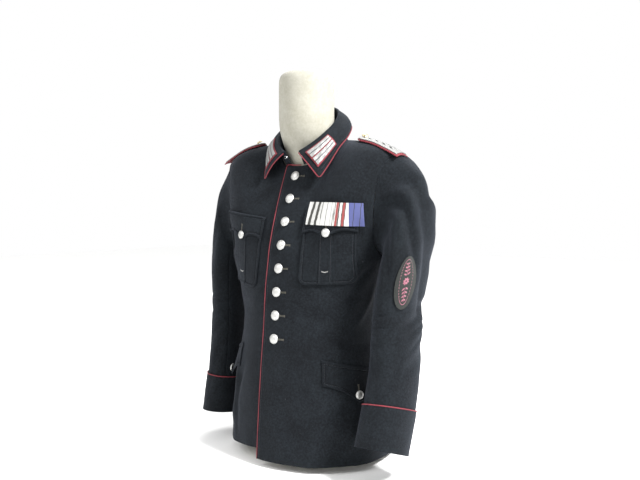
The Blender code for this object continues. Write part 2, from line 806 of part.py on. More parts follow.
def on_pocket(side, step, z, height):
    """Point over a pocket, at a step sideways from its middle and a height above the front."""
    shift_x, shift_z = POCKET_SHIFT[side]
    half = (POCKET_OUTER_X - POCKET_INNER_X) / 2
    down = (POCKET_TOP_Z - z) / (POCKET_TOP_Z - POCKET_BOTTOM_Z)
    x = POCKET_MID_X + shift_x + step - POCKET_TAPER * max(down, 0.0) * (step + half) / (2 * half)
    return on_front(side, x * side, z + shift_z + POCKET_LEAN[side] * step / (2 * half), height)


def breast_pocket(side_name, side, material):
    half = (POCKET_OUTER_X - POCKET_INNER_X) / 2
    turns = [0, 0.35, 0.7, 1]
    steps = [-half + POCKET_CORNER * (1 - cos(pi / 2 * t)) for t in turns]
    between = (half - POCKET_CORNER + PLEAT_HALF) / 2
    fold = PLEAT_HALF + PLEAT_FOLD
    steps += [-between, -fold, -PLEAT_HALF, PLEAT_HALF, fold, between]
    steps += [half - POCKET_CORNER * (1 - cos(pi / 2 * t)) for t in reversed(turns)]
    outline = []
    for step in steps:
        into = half - abs(step)
        rise = 0.0
        if into < POCKET_CORNER:
            rise = POCKET_CORNER - sqrt(max(POCKET_CORNER**2 - (POCKET_CORNER - into) ** 2, 0))
        outline.append(((step, POCKET_BOTTOM_Z + rise), (step, POCKET_TOP_Z)))

    def place(step, z, height):
        return on_pocket(side, step, z, height)

    patch(f"breast_pocket_{side_name}", outline, place, LAY,
          lambda step, z: LAY + POCKET_WALL + pleat_raise(step), material, rows=7)


def flap_bottom(share):
    """Lower edge of a three-pointed flap: share runs from -1 to 1 and the middle point is at 0."""
    wave = abs(sin(pi * share))
    return FLAP_TIP_Z + (FLAP_CORNER_Z - FLAP_TIP_Z) * abs(share) + FLAP_SCALLOP * wave


def breast_flap(side_name, side, material):
    half = (POCKET_OUTER_X - POCKET_INNER_X) / 2 + FLAP_OVERHANG
    shares = spaced(-1, 1, 16)
    outline = [((half * share, flap_bottom(share)), (half * share, FLAP_TOP_Z)) for share in shares]

    def place(step, z, height):
        return on_pocket(side, step, z, height)

    def low(step, z):
        return mix(LAY, FLAP_BASE, ease((FLAP_TOP_Z + FLAP_HINGE_ABOVE - z) / FLAP_HINGE_HEIGHT))

    def high(step, z):
        return low(step, z) + POCKET_WALL

    patch(f"breast_flap_{side_name}", outline, place, low, high, material, rows=5)


# Hip flap in angle round the body and height
HIP_INNER_ANGLE = 37.0
HIP_OUTER_ANGLE = 92.0
HIP_INNER_Z = 0.238
HIP_OUTER_Z = 0.205
HIP_DROP = 0.054
HIP_POINT_DROP = 0.020
HIP_SCALLOP = 0.007
HIP_BUTTON_RISE = 0.015
HIP_REST = 0.0007
HIP_LIFT = {1: 0.0, -1: 0.015}
HIP_FLARE = {1: 0.002, -1: 0.011}
HIP_BUTTON_STAND = {1: 0.0008, -1: 0.0022}


def hip_flap(side_name, side, material):
    outline = []
    lift = HIP_LIFT[side]
    for step in spaced(-1, 1, 14):
        share = (step + 1) / 2
        angle = mix(HIP_INNER_ANGLE, HIP_OUTER_ANGLE, share) * side
        top = mix(HIP_INNER_Z, HIP_OUTER_Z, share) + lift
        drop = HIP_DROP + HIP_POINT_DROP * (1 - abs(step)) - HIP_SCALLOP * abs(sin(pi * step))
        outline.append(((angle, top - drop), (angle, top)))

    def low(angle, z):
        share = (abs(angle) - HIP_INNER_ANGLE) / (HIP_OUTER_ANGLE - HIP_INNER_ANGLE)
        below = mix(HIP_INNER_Z, HIP_OUTER_Z, share) + lift - z
        return HIP_REST + HIP_FLARE[side] * ease(share * 1.4) * (max(below, 0.0) / HIP_DROP) ** 1.5

    def high(angle, z):
        return low(angle, z) + POCKET_WALL

    patch(f"hip_flap_{side_name}", outline, on_skirt, low, high, material, rows=4)
    middle = (HIP_INNER_ANGLE + HIP_OUTER_ANGLE) / 2 * side
    z = (HIP_INNER_Z + HIP_OUTER_Z) / 2 + lift - HIP_DROP - HIP_POINT_DROP + HIP_BUTTON_RISE
    return middle, z, low(middle, z) + POCKET_WALL + HIP_BUTTON_STAND[side]


def button(name, point, normal, radius, material):
    """A domed button with a rolled rim, its flat back just above the cloth."""
    height = BUTTON_HEIGHT * radius / BUTTON_RADIUS
    profile = [(0.86, 0.0), (1.0, 0.22), (0.92, 0.50), (0.62, 0.86)]
    sides = 10
    along = normal.orthogonal().normalized()
    other = normal.cross(along)
    points = []
    for reach, rise in profile:
        for k in range(sides):
            t = 2 * pi * k / sides
            flat = (along * cos(t) + other * sin(t)) * radius * reach
            points.append(point + flat + normal * height * rise)
    points.append(point + normal * height)
    faces = [tuple(reversed(range(sides)))]
    for i in range(len(profile) - 1):
        for k in range(sides):
            m = (k + 1) % sides
            faces.append((i * sides + k, i * sides + m, (i + 1) * sides + m, (i + 1) * sides + k))
    last = (len(profile) - 1) * sides
    for k in range(sides):
        faces.append((last + k, last + (k + 1) % sides, len(points) - 1))
    return make_object(name, points, faces, material)


def front_normal(x, z):
    level = level_at(x, z)
    return body_normal(angle_at(x, level), level)


# Shoulder boards

def shoulder_z(x, y):
    """Height of the middle of the cloth on top of the shoulder, carried straight on past its end."""
    if x > SHOULDER_TURN_X:
        return shoulder_z(SHOULDER_TURN_X, y) + ridge_top(x) - ridge_top(SHOULDER_TURN_X)
    section = read(BODY, UNDERARM_Z)
    back = y > RIDGE_Y
    fall, bend = yoke_slope(x, back)
    reach = section.back if back else section.front
    rise = 1.0
    for _ in range(4):
        side_share = min(x / (section.half_width + YOKE_SPREAD * rise), 1.0) ** section.square
        depth = reach * (1 - side_share) ** (1 / section.square)
        widest = MID_Y + depth if back else MID_Y - depth
        share = min((y - RIDGE_Y) / (widest - RIDGE_Y), 1.0)
        rise = (1 - share**bend) ** (1 / fall)
    peak = ridge_z(x, back)
    drop = (1 - rise) * (peak - UNDERARM_Z)
    return peak - sqrt(drop * drop + rise * ridge_radius(x) ** 2)


def shoulder_surface(side, x, y, height):
    """Point above the shoulder: a stiff board with a shallow bow, resting on the highest cloth under it."""
    reach = BOARD_WIDTH / 2
    front, rear = shoulder_z(x, BOARD_Y - reach * 0.8), shoulder_z(x, BOARD_Y + reach * 0.8)
    tilt = (rear - front) / (reach * 1.6)

    def bowed(at):
        away = at - BOARD_Y
        return (front + rear) / 2 + tilt * away - away * away / (2 * BOARD_BOW)

    under = spaced(BOARD_Y - reach * 1.1, BOARD_Y + reach * 1.1, 8)
    lift = max(shoulder_z(x, at) - bowed(at) for at in under)
    return Vector((x * side, y, bowed(y) + lift + WALL / 2 + height))


def board_outline(grow):
    """Columns along the board, round at the neck end."""
    half = BOARD_WIDTH / 2 + grow
    inner = BOARD_INNER_X - grow
    columns = []
    for t in (0, 0.3, 0.6, 0.85, 1):
        x = inner + half * (1 - cos(pi / 2 * t))
        reach = half * max(sin(pi / 2 * t), 0.12)
        columns.append(((x, BOARD_Y - reach), (x, BOARD_Y + reach)))
    for share in (0.35, 0.7, 1):
        x = mix(inner + half, BOARD_OUTER_X + grow, share)
        columns.append(((x, BOARD_Y - half), (x, BOARD_Y + half)))
    return columns


def shoulder_board(side_name, side, red, braid, gilt):
    def place(x, y, height):
        return shoulder_surface(side, x, y, height)

    base = BOARD_REST
    under = base + BOARD_UNDERLAY
    top = under + SEAM + BOARD_BRAID
    patch(f"board_underlay_{side_name}", board_outline(BOARD_MARGIN), place, base, under, red, rows=4)
    patch(f"board_braid_{side_name}", board_outline(0.0), place, under + SEAM, top, braid, rows=4)
    point = place(BOARD_INNER_X + PIP_INSET, BOARD_Y, top + PIP_STAND)
    tip = Vector((PIP_LEAN_X * side, PIP_LEAN_Y, 1)).normalized()
    button(f"board_button_{side_name}", point, tip, PIP_RADIUS, gilt)


# Collar tabs, ribbons and badge

TAB_START = 0.045
TAB_END = 0.300
TAB_TOP = 0.16
TAB_BOTTOM = 0.80
TAB_REST = 0.0009
TAB_WALL = 0.0010
BAR_SHARE = 0.40
BAR_INSET = 0.045
BAR_END_INSET = 0.012
BAR_WALL = 0.0014
BAR_AIR = 0.0004


def collar_tab(side_name, side, red, silver):
    def place(share, down, height):
        point = leaf_point(share, down) + leaf_normal(share, down) * (WALL / 2 + height)
        return Vector((point.x * side, point.y, point.z))

    def strip(name, top, bottom, start, end, low, high, material):
        columns = [((share, bottom), (share, top)) for share in spaced(start, end, 5)]
        patch(name, columns, place, low, high, material, rows=2)

    top = TAB_REST + TAB_WALL
    strip(f"collar_tab_{side_name}", TAB_TOP, TAB_BOTTOM, TAB_START, TAB_END, TAB_REST, top, red)
    height = (TAB_BOTTOM - TAB_TOP) * BAR_SHARE
    low = top + BAR_AIR
    high = low + BAR_WALL
    start, end = TAB_START + BAR_END_INSET, TAB_END - BAR_END_INSET
    for number, down in ((1, TAB_TOP + BAR_INSET), (2, TAB_BOTTOM - BAR_INSET - height)):
        strip(f"collar_bar_{side_name}_{number}", down, down + height, start, end, low, high, silver)


RIBBON_INNER_X = 0.060
RIBBON_OUTER_X = 0.181
RIBBON_BOTTOM_Z = 0.519
RIBBON_TOP_Z = 0.567
RIBBON_COUNT = 4
RIBBON_BASE = FLAP_BASE + POCKET_WALL + FLAP_AIR
RIBBON_WALL = 0.0022


def ribbons(materials):
    width = (RIBBON_OUTER_X - RIBBON_INNER_X) / RIBBON_COUNT
    for k in range(RIBBON_COUNT):
        start = RIBBON_INNER_X + width * k + SEAM / 2
        end = start + width - SEAM
        columns = [((x, RIBBON_BOTTOM_Z), (x, RIBBON_TOP_Z)) for x in spaced(start, end, 3)]

        def place(x, z, height):
            return on_front(1, x, z, height)

        patch(f"ribbon_{k + 1}", columns, place, RIBBON_BASE, RIBBON_BASE + RIBBON_WALL, materials[k], rows=3)


BADGE_SHARE = 0.462
BADGE_TURN = 30.0
BADGE_HALF_SHARE = 0.078
BADGE_HALF_TURN = 22.0
BADGE_REST = 0.0009
BADGE_WALL = 0.0010
BADGE_AIR = 0.0005
MOTIF_SCALE = 0.42


def badge(ground, pink):
    def place(turn, share, height):
        return sleeve_point(SLEEVE_LEFT, FOLDS_LEFT, turn, share, WALL / 2 + height)

    def oval(scale):
        columns = []
        for k in range(11):
            a = pi * k / 10
            reach = BADGE_HALF_SHARE * scale * max(sin(a), 0.10)
            turn = BADGE_TURN + BADGE_HALF_TURN * scale * cos(a)
            columns.append(((turn, BADGE_SHARE + reach), (turn, BADGE_SHARE - reach)))
        return columns

    top = BADGE_REST + BADGE_WALL
    patch("sleeve_badge", oval(1.0), place, BADGE_REST, top, ground, rows=6)
    low = top + BADGE_AIR
    patch("sleeve_badge_motif", oval(MOTIF_SCALE), place, low, low + BADGE_WALL, pink, rows=3)


# Torso form

def form_inset(angle, level):
    """How far the form lies inside the cloth: least at the shoulders, which carry it, most at the foot."""
    z = mix(UNDERARM_Z, 0.0, max(-level, 0.0))
    turn = 1 - ease(z / FORM_FOOT_TURN_Z)
    foot = FORM_FOOT_INSET * turn * turn
    return mix(FORM_INSET, FORM_SEAT, ease((level - 0.80) / 0.2)) + foot


def add_cap(faces, *corners):
    faces.append(tuple(dict.fromkeys(corners)))


def torso_form(material):
    angles = spaced(-180, 180, 32)[:-1]
    levels = [-1, -0.99, -0.96, -0.90, -0.80, -0.65, -0.5, -0.33, -0.16, 0]
    levels += [0.2, 0.4, 0.58, 0.72, 0.84, 0.92, 0.965, 0.99]
    points, faces = [], []
    for level in levels:
        for angle in angles:
            inset = form_inset(angle, level)
            if level <= 0:
                point = skirt(angle, mix(UNDERARM_Z, 0.0, -level), inset)
            else:
                point = yoke(angle, level, inset, mix(1.0, FORM_NARROW, ease(level)), throat=False)
            points.append(point)
    count = len(angles)
    for i in range(len(levels) - 1):
        for j in range(count):
            k = (j + 1) % count
            faces.append((i * count + j, i * count + k, (i + 1) * count + k, (i + 1) * count + j))
    faces.append(tuple(reversed(range(count))))
    last = (len(levels) - 1) * count
    front, quarter = last + count // 2, count // 4
    for j in range(quarter):
        rear_left, rear_next = last + (count - j) % count, last + count - j - 1
        add_cap(faces, front + j, front + j + 1, rear_next, rear_left)
        add_cap(faces, front - j - 1, front - j, last + j, last + j + 1)
    body_part = make_object("form_torso", points, faces, material)
    column = neck_column(material)
    join = body_part.modifiers.new("neck", "BOOLEAN")
    join.operation = "UNION"
    join.solver = "EXACT"
    join.object = column
    column.hide_render = True
    column.display_type = "WIRE"
    return body_part


def neck_lean(z):
    """Where the middle of the neck lies: it leans forward above the throat."""
    return mix(NECK_FOOT_Y, NECK_HEAD_Y, ease((z - NECK_BEND_Z) / NECK_BEND_HEIGHT))


def neck_column(material):
    sides = 28
    rings = []
    for k in range(11):
        z = mix(NECK_FOOT_Z, NECK_TOP_Z - NECK_TOP_ROUND, k / 10)
        rings.append((z, NECK_COLUMN_RADIUS))
    for k in range(1, 6):
        t = pi / 2 * k / 6
        z = NECK_TOP_Z - NECK_TOP_ROUND * (1 - sin(t))
        rings.append((z, NECK_COLUMN_RADIUS - NECK_TOP_ROUND * (1 - cos(t))))
    points, faces = [], []
    for z, radius in rings:
        lean = neck_lean(z)
        for j in range(sides):
            t = 2 * pi * j / sides
            points.append(Vector((radius * sin(t), lean - radius * cos(t), z)))
    for i in range(len(rings) - 1):
        for j in range(sides):
            k = (j + 1) % sides
            faces.append((i * sides + j, i * sides + k, (i + 1) * sides + k, (i + 1) * sides + j))
    faces.append(tuple(reversed(range(sides))))
    last = (len(rings) - 1) * sides
    points.append(Vector((0, neck_lean(NECK_TOP_Z), NECK_TOP_Z + NECK_CROWN)))
    for j in range(sides):
        faces.append((last + j, last + (j + 1) % sides, len(points) - 1))
    return make_object("neck_cutter", points, faces, material)


# Piping of the front edge
PIPING_END_DROP = 0.004
PIPING_TOP_X = (-0.025, -0.014, 0.0, 0.010)
PIPING_TOP_LIFT = 0.0004
PIPING_TOP_RISE = 0.0010


def front_piping(red):
    step = PIPE_RADIUS + SEAM
    path = []
    for level in spaced(-1, read(NECKLINE, FRONT_EDGE).front_rise - PIPING_END_DROP, 24):
        angle = angle_at(-FRONT_EDGE, level)
        normal = body_normal(angle, level)
        path.append(body(angle, level) + normal * LAP_LIFT + Vector((-step, 0, 0)))
    for x in (-FRONT_EDGE - step * 0.6, *PIPING_TOP_X):
        level = read(NECKLINE, min(abs(x), FRONT_EDGE)).front_rise
        angle = angle_at(x, level)
        normal = body_normal(angle, level)
        rise = Vector((0, 0, step + PIPING_TOP_RISE))
        path.append(body(angle, level) + normal * (LAP_LIFT + PIPING_TOP_LIFT) + rise)
    tube("front_piping", path, PIPE_RADIUS, red)


HOOK_WIRE = 0.0006
HOOK_HALF_WIDTH = 0.0030
HOOK_HALF_HEIGHT = 0.0028
HOOK_STAND = 0.0029
HOOK_SHARE = 0.62


def hooks(steel):
    """The hook and eye that close the collar, bent from wire, on its front ends."""
    middle = neck_seam(0.0).lerp(fold_point(0.0), HOOK_SHARE)
    for name, side in (("collar_eye", -1), ("collar_hook", 1)):
        path = []
        for k in range(9):
            t = pi * (0.15 + 1.7 * k / 8)
            x = middle.x + HOOK_HALF_WIDTH * (1 + cos(t))
            path.append(Vector((side * x, middle.y - HOOK_STAND, middle.z + HOOK_HALF_HEIGHT * sin(t))))
        tube(name, path, HOOK_WIRE, steel)


def main():
    for thing in list(bpy.data.objects):
        bpy.data.objects.remove(thing)
    wool = paint("wool", 0.018, 0.022, 0.030, 0.85)
    red = paint("red piping", 0.50, 0.05, 0.07, 0.7)
    silver = paint("silver metal", 0.75, 0.75, 0.74, 0.35, 1.0)
    braid = paint("silver braid", 0.72, 0.72, 0.70, 0.5)
    gilt = paint("gilt", 0.70, 0.60, 0.35, 0.4, 1.0)
    steel = paint("steel", 0.55, 0.55, 0.55, 0.4, 1.0)
    plaster = paint("form fabric", 0.85, 0.83, 0.77, 0.8)
    ground = paint("badge ground", 0.04, 0.05, 0.04, 0.9)
    pink = paint("badge thread", 0.70, 0.25, 0.38, 0.7)
    white = paint("ribbon white", 0.80, 0.80, 0.78, 0.7)
    blue = paint("ribbon blue", 0.12, 0.14, 0.42, 0.7)

    torso_form(plaster)
    for side_name, side in (("left", 1), ("right", -1)):
        centre, outside = front_boundaries(side)
        panel(f"front_{side_name}", centre, outside, wool, lambda x, s=side: lap_lift(s, x))
        centre, outside = back_boundaries(side)
        panel(f"back_{side_name}", centre, outside, wool)
        stations = SLEEVE_LEFT if side > 0 else SLEEVE_RIGHT
        folds = FOLDS_LEFT if side > 0 else FOLDS_RIGHT
        sleeve(side_name, side, stations, folds, wool)
        cuff(side_name, side, stations, folds, wool, red)
        breast_pocket(side_name, side, wool)
        breast_flap(side_name, side, wool)
        height = FLAP_BASE + POCKET_WALL + BUTTON_REST
        at = on_pocket(side, 0.0, FLAP_TIP_Z + FLAP_BUTTON_RISE, height)
        button(f"breast_button_{side_name}", at, front_normal(at.x, at.z), SMALL_BUTTON_RADIUS, silver)
        angle, z, height = hip_flap(side_name, side, wool)
        level = (z - UNDERARM_Z) / (UNDERARM_Z - HEM_Z)
        at = on_skirt(angle, z, height)
        button(f"hip_button_{side_name}", at, body_normal(angle, level), SMALL_BUTTON_RADIUS, silver)
        shoulder_board(side_name, side, red, braid, gilt)
        collar_tab(side_name, side, red, braid)
    collar(wool, red)
    front_piping(red)
    for k in range(BUTTON_COUNT):
        z = BUTTON_TOP_Z - BUTTON_PITCH * k
        at = on_front(1, BUTTON_X, z, BUTTON_REST)
        button(f"front_button_{k + 1}", at, front_normal(BUTTON_X, z), BUTTON_RADIUS, silver)
    ribbons([white, white, red, blue])
    badge(ground, pink)
    hooks(steel)


main()
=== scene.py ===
from collections import namedtuple
from math import cos, pi, radians, sin

import bpy
import numpy as np
from mathutils import Matrix, Vector, noise


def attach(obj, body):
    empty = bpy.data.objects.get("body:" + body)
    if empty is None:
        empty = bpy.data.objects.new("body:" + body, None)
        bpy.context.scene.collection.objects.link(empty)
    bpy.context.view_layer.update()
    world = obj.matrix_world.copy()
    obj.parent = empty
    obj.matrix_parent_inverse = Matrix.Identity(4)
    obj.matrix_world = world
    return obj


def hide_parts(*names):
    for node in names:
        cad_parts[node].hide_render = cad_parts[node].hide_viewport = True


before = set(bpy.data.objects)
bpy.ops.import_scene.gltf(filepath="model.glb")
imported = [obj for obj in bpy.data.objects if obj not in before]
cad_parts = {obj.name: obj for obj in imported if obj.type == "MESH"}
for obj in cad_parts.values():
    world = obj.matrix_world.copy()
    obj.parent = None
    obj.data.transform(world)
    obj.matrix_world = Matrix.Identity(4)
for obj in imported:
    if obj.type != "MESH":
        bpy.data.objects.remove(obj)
bpy.ops.object.select_all(action="DESELECT")
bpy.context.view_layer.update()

# %% [markdown]
# ## Camera, floor and light
# The camera stands to the wearer's left of straight ahead and just above level, far enough away that the
# tunic keeps its proportions. Dark cloth shows its folds where light crosses them, so a strong lamp stands to
# the viewer's right, weaker ones on the other side and behind, and a bright room fills the rest.
# %% Camera
CAMERA_AZIMUTH = radians(34.5)
CAMERA_ELEVATION = radians(2.4)
CAMERA_DISTANCE = 1.7
CAMERA_LENS = 41.1
AIM_RIGHT = 0.006
AIM_Z = 0.483


def direction(azimuth, elevation):
    """From the tunic towards a place at that azimuth, 0 in front and positive on the wearer's left."""
    level = cos(elevation)
    return Vector((sin(azimuth) * level, -cos(azimuth) * level, sin(elevation)))


def aim(thing, place, target):
    thing.location = place
    thing.rotation_euler = (Vector(target) - Vector(place)).to_track_quat("-Z", "Y").to_euler()


aim_point = Vector((cos(CAMERA_AZIMUTH) * AIM_RIGHT, sin(CAMERA_AZIMUTH) * AIM_RIGHT, AIM_Z))
camera = bpy.data.objects.new("camera", bpy.data.cameras.new("camera"))
camera.data.lens = CAMERA_LENS
aim(camera, aim_point + direction(CAMERA_AZIMUTH, CAMERA_ELEVATION) * CAMERA_DISTANCE, aim_point)
bpy.context.scene.collection.objects.link(camera)
bpy.context.scene.camera = camera
bpy.context.scene.view_settings.view_transform = "Standard"
print("camera at", [round(v, 3) for v in camera.location])

# %% Floor, room and lamps
FLOOR_SIZE = 14.0
FLOOR_ROUGH = 0.9
FLOOR_PALE = (0.96, 0.96, 0.955, 1)
ROOM_LIGHT = 1.0

bpy.ops.mesh.primitive_plane_add(size=FLOOR_SIZE, location=(0, 0, 0))
floor = bpy.context.object
floor.name = "floor"
bpy.ops.object.transform_apply(location=True, rotation=True, scale=True)
paper = bpy.data.materials.new("pale floor")
paper.use_nodes = True
paper_shader = paper.node_tree.nodes["Principled BSDF"]
paper_shader.inputs["Base Color"].default_value = FLOOR_PALE
paper_shader.inputs["Roughness"].default_value = FLOOR_ROUGH
floor.data.materials.append(paper)
bpy.ops.object.select_all(action="DESELECT")

world = bpy.data.worlds.new("room")
bpy.context.scene.world = world
world.use_nodes = True
backdrop = world.node_tree.nodes["Background"]
backdrop.inputs["Color"].default_value = (1.0, 1.0, 1.0, 1)
backdrop.inputs["Strength"].default_value = ROOM_LIGHT

Lamp = namedtuple("Lamp", "name azimuth elevation distance size power")
LAMPS = [
    Lamp("key", 84, 42, 2.6, 0.6, 170),
    Lamp("fill", -25, 35, 2.8, 1.2, 26),
    Lamp("rear", 215, 55, 2.8, 1.4, 34),
]
for lamp in LAMPS:
    light = bpy.data.objects.new(lamp.name, bpy.data.lights.new(lamp.name, "AREA"))
    light.data.size = lamp.size
    light.data.energy = lamp.power
    place = aim_point + direction(radians(lamp.azimuth), radians(lamp.elevation)) * lamp.distance
    aim(light, place, aim_point)
    bpy.context.scene.collection.objects.link(light)
print("lamps", [lamp.name for lamp in LAMPS])

# %% [markdown]
# ## Arithmetic for shaders
# A pattern such as a weave is a sum of waves and noises. Wrapping a shader socket in a small class lets the
# sum be written as it is thought of, and each operator adds its Math node.
# %% Shader sockets that add up
class Flow:
    """A socket of a material's node tree that can be used in a sum."""

    def __init__(self, tree, socket=None):
        self.tree, self.socket = tree, socket

    def node(self, kind, sockets=None, output=0, **settings):
        """Adds a node, makes its settings first and then its sockets, and gives one of its outputs."""
        made = self.tree.nodes.new(kind)
        for name, value in settings.items():
            setattr(made, name, value)
        for name, value in (sockets or {}).items():
            if isinstance(value, Flow):
                self.tree.links.new(value.socket, made.inputs[name])
            else:
                made.inputs[name].default_value = value
        return Flow(self.tree, made.outputs[output])

    def maths(self, operation, *values):
        return self.node("ShaderNodeMath", dict(enumerate(values)), operation=operation)

    def __add__(self, other):
        return self.maths("ADD", self, other)

    __radd__ = __add__

    def __sub__(self, other):
        return self.maths("SUBTRACT", self, other)

    def __rsub__(self, other):
        return self.maths("SUBTRACT", other, self)

    def __mul__(self, other):
        return self.maths("MULTIPLY", self, other)

    __rmul__ = __mul__

    def __abs__(self):
        return self.maths("ABSOLUTE", self)

    def between(self, none, full):
        """0 at the first value and 1 at the second, and straight in between."""
        return self.node("ShaderNodeMapRange", {"Value": self, "From Min": none, "From Max": full})

    def above(self, edge, soft):
        """0 below the edge and 1 above it, over a soft width."""
        return self.between(edge - soft, edge + soft)

    def wave(self, pitch, shift=0.0):
        """A smooth wave from 0 to 1 that repeats every pitch. A shift moves it along."""
        return self.maths("SINE", self * (2 * pi / pitch) + shift) * 0.5 + 0.5

    def noise(self, scale, detail=2.0, roughness=0.5):
        """Noise from 0 to 1 read at this vector."""
        sockets = {"Vector": self, "Scale": scale, "Detail": detail, "Roughness": roughness}
        return self.node("ShaderNodeTexNoise", sockets)

    def cells(self, scale):
        """Distance to the nearest of many scattered points, read at this vector."""
        return self.node("ShaderNodeTexVoronoi", {"Vector": self, "Scale": scale, "Randomness": 1.0})

    def blend(self, first, second):
        """A colour between two, by this share."""
        sockets = {"Factor": self, 6: first, 7: second}
        return self.node("ShaderNodeMix", sockets, output=2, data_type="RGBA")

    def parts(self):
        """The three numbers of this vector."""
        split = self.node("ShaderNodeSeparateXYZ", {"Vector": self}).socket.node
        return [Flow(self.tree, output) for output in split.outputs]


def colour(red, green, blue):
    return (red, green, blue, 1.0)


def surface(name, roughness=0.8, metallic=0.0, sheen=0.0, sheen_tint=(1, 1, 1), specular=0.5):
    """A new material: the material, the start of its sums and its shader."""
    material = bpy.data.materials.new(name)
    material.use_nodes = True
    tree = material.node_tree
    shader = tree.nodes["Principled BSDF"]
    shader.inputs["Roughness"].default_value = roughness
    shader.inputs["Metallic"].default_value = metallic
    shader.inputs["Specular IOR Level"].default_value = specular
    shader.inputs["Sheen Weight"].default_value = sheen
    shader.inputs["Sheen Tint"].default_value = colour(*sheen_tint)
    return material, Flow(tree), shader


def connect(flow, shader, name, value):
    flow.tree.links.new(value.socket, shader.inputs[name])


def emboss(flow, shader, height, distance):
    """Feeds a height, in shares of a distance in metres, to the shader's normal."""
    sockets = {"Height": height, "Distance": distance, "Strength": 1.0}
    connect(flow, shader, "Normal", flow.node("ShaderNodeBump", sockets))


def place_of(flow):
    """Place on the object in metres."""
    return flow.node("ShaderNodeTexCoord", output=3)


def cloth_place(flow):
    """Place on the flat cut in metres, from the piece's UV map."""
    return flow.node("ShaderNodeUVMap", uv_map="cut")


print("shader arithmetic ready")

# %% [markdown]
# ## The cloth's shape in numbers
# Every panel lies on one surface, read from a few sections through the body. Angle runs round the body from
# the centre front, positive on the wearer's left. Level runs from -1 at the hem through 0 at the underarm to
# 1 at the shoulder seam. Working on whole arrays at once keeps tens of thousands of points quick.
# %% Sizes of the body
WALL = 0.0018
SEAM = 0.0003
LAY = 0.0012
HEM_Z = 0.015
UNDERARM_Z = 0.450
MID_Y = -0.015
SIDE_SEAM = 97.0
FRONT_EDGE = 0.029
UNDER_LAP = 0.022
LAP_LIFT = 0.0016
LAP_FULL_X = 0.030
LAP_NONE_X = 0.070
RIGHT_HEM_RISE = 0.026
SHOULDER_X = 0.234
SHOULDER_Z = 0.664
SHOULDER_TURN_X = 0.202
NECK_X = 0.078
SHOULDER_SLOPE = 0.579
SHOULDER_HOLLOW = 1.93
RIDGE_Y = -0.010
YOKE_SPREAD = 0.050
THROAT_RISE = 0.052
NAPE_RISE = 0.084
NECK_SPREAD = 0.053
RIDGE_SHARP = 0.012
RIDGE_ROUND = 0.036
RIDGE_RUN = 0.12
RIDGE_INNER_X = 0.085
# How the yoke falls away from its ridge, near the neck and near the arm
YOKE_FALL_BACK, YOKE_BEND_BACK = (2.2, 2.4), (1.6, 2.2)
YOKE_FALL_FRONT, YOKE_BEND_FRONT = (1.25, 2.6), (1.15, 2.4)
YOKE_NECK_X = 0.04
YOKE_RUN_X = 0.16
BODY_REACH = 0.19
CHEST_SHARE = 0.42
TOP_LEVEL = 0.999995

Section = namedtuple("Section", "z half_width front back square")
BODY = [
    Section(0.000, 0.190, 0.173, 0.166, 2.10),
    Section(0.100, 0.187, 0.166, 0.162, 2.10),
    Section(0.200, 0.177, 0.157, 0.152, 2.15),
    Section(0.300, 0.161, 0.146, 0.133, 2.20),
    Section(0.380, 0.172, 0.139, 0.138, 2.35),
    Section(0.450, 0.196, 0.128, 0.147, 2.45),
]
Flute = namedtuple("Flute", "angle spread z_none z_full depth")
FLUTES = [
    Flute(-62, 9, 0.300, 0.080, 0.0050),
    Flute(-40, 8, 0.280, 0.100, 0.0035),
    Flute(28, 10, 0.200, 0.020, 0.0045),
    Flute(68, 11, 0.290, 0.050, 0.0040),
    Flute(118, 12, 0.300, 0.030, 0.0055),
    Flute(152, 11, 0.280, 0.030, 0.0050),
    Flute(-118, 12, 0.300, 0.030, 0.0055),
    Flute(-150, 11, 0.280, 0.030, 0.0045),
]
Armhole = namedtuple("Armhole", "share front_angle back_angle rise")
ARMHOLE = [
    Armhole(0.00, 97.0, 97.0, 0.000),
    Armhole(0.14, 83.0, 106.0, 0.022),
    Armhole(0.30, 71.0, 113.0, 0.120),
    Armhole(0.50, 64.5, 117.0, 0.330),
    Armhole(0.70, 61.5, 118.5, 0.590),
    Armhole(0.86, 62.5, 116.5, 0.810),
    Armhole(1.00, 70.0, 110.0, 1.000),
]
Neckline = namedtuple("Neckline", "x front_rise back_rise")
NECKLINE = [
    Neckline(0.000, 0.622, 0.880),
    Neckline(0.020, 0.628, 0.882),
    Neckline(0.040, 0.668, 0.893),
    Neckline(0.060, 0.790, 0.925),
    Neckline(0.072, 0.915, 0.965),
    Neckline(NECK_X, 1.000, 1.000),
]
print("sections", len(BODY), "flutes", len(FLUTES))


# %% Curves through the tables
def mix(a, b, share):
    return a + (b - a) * share


def ease(share):
    share = np.clip(share, 0.0, 1.0)
    return share * share * (3 - 2 * share)


def read(table, at):
    """The table's row at a value of its first column, on a smooth curve through its rows."""
    rows = np.array(table, float)
    knots = rows[:, 0]
    slopes = np.gradient(rows, axis=0)
    slopes[1:-1] = (rows[2:] - rows[:-2]) / (knots[2:] - knots[:-2])[:, None]
    slopes[0] = (rows[1] - rows[0]) / (knots[1] - knots[0])
    slopes[-1] = (rows[-1] - rows[-2]) / (knots[-1] - knots[-2])
    at = np.clip(np.asarray(at, float), knots[0], knots[-1])
    k = np.clip(np.searchsorted(knots, at, side="right") - 1, 0, len(knots) - 2)
    step = knots[k + 1] - knots[k]
    s = ((at - knots[k]) / step)[..., None]
    h00, h10, h11 = 2 * s**3 - 3 * s**2 + 1, s**3 - 2 * s**2 + s, s**3 - s**2
    values = h00 * rows[k] + (1 - h00) * rows[k + 1]
    values = values + step[..., None] * (h10 * slopes[k] + h11 * slopes[k + 1])
    return type(table[0])(*np.moveaxis(values, -1, 0))


def power(value, exponent):
    return np.sign(value) * np.abs(value) ** exponent


def stack(x, y, z):
    return np.stack(np.broadcast_arrays(x, y, z), axis=-1)


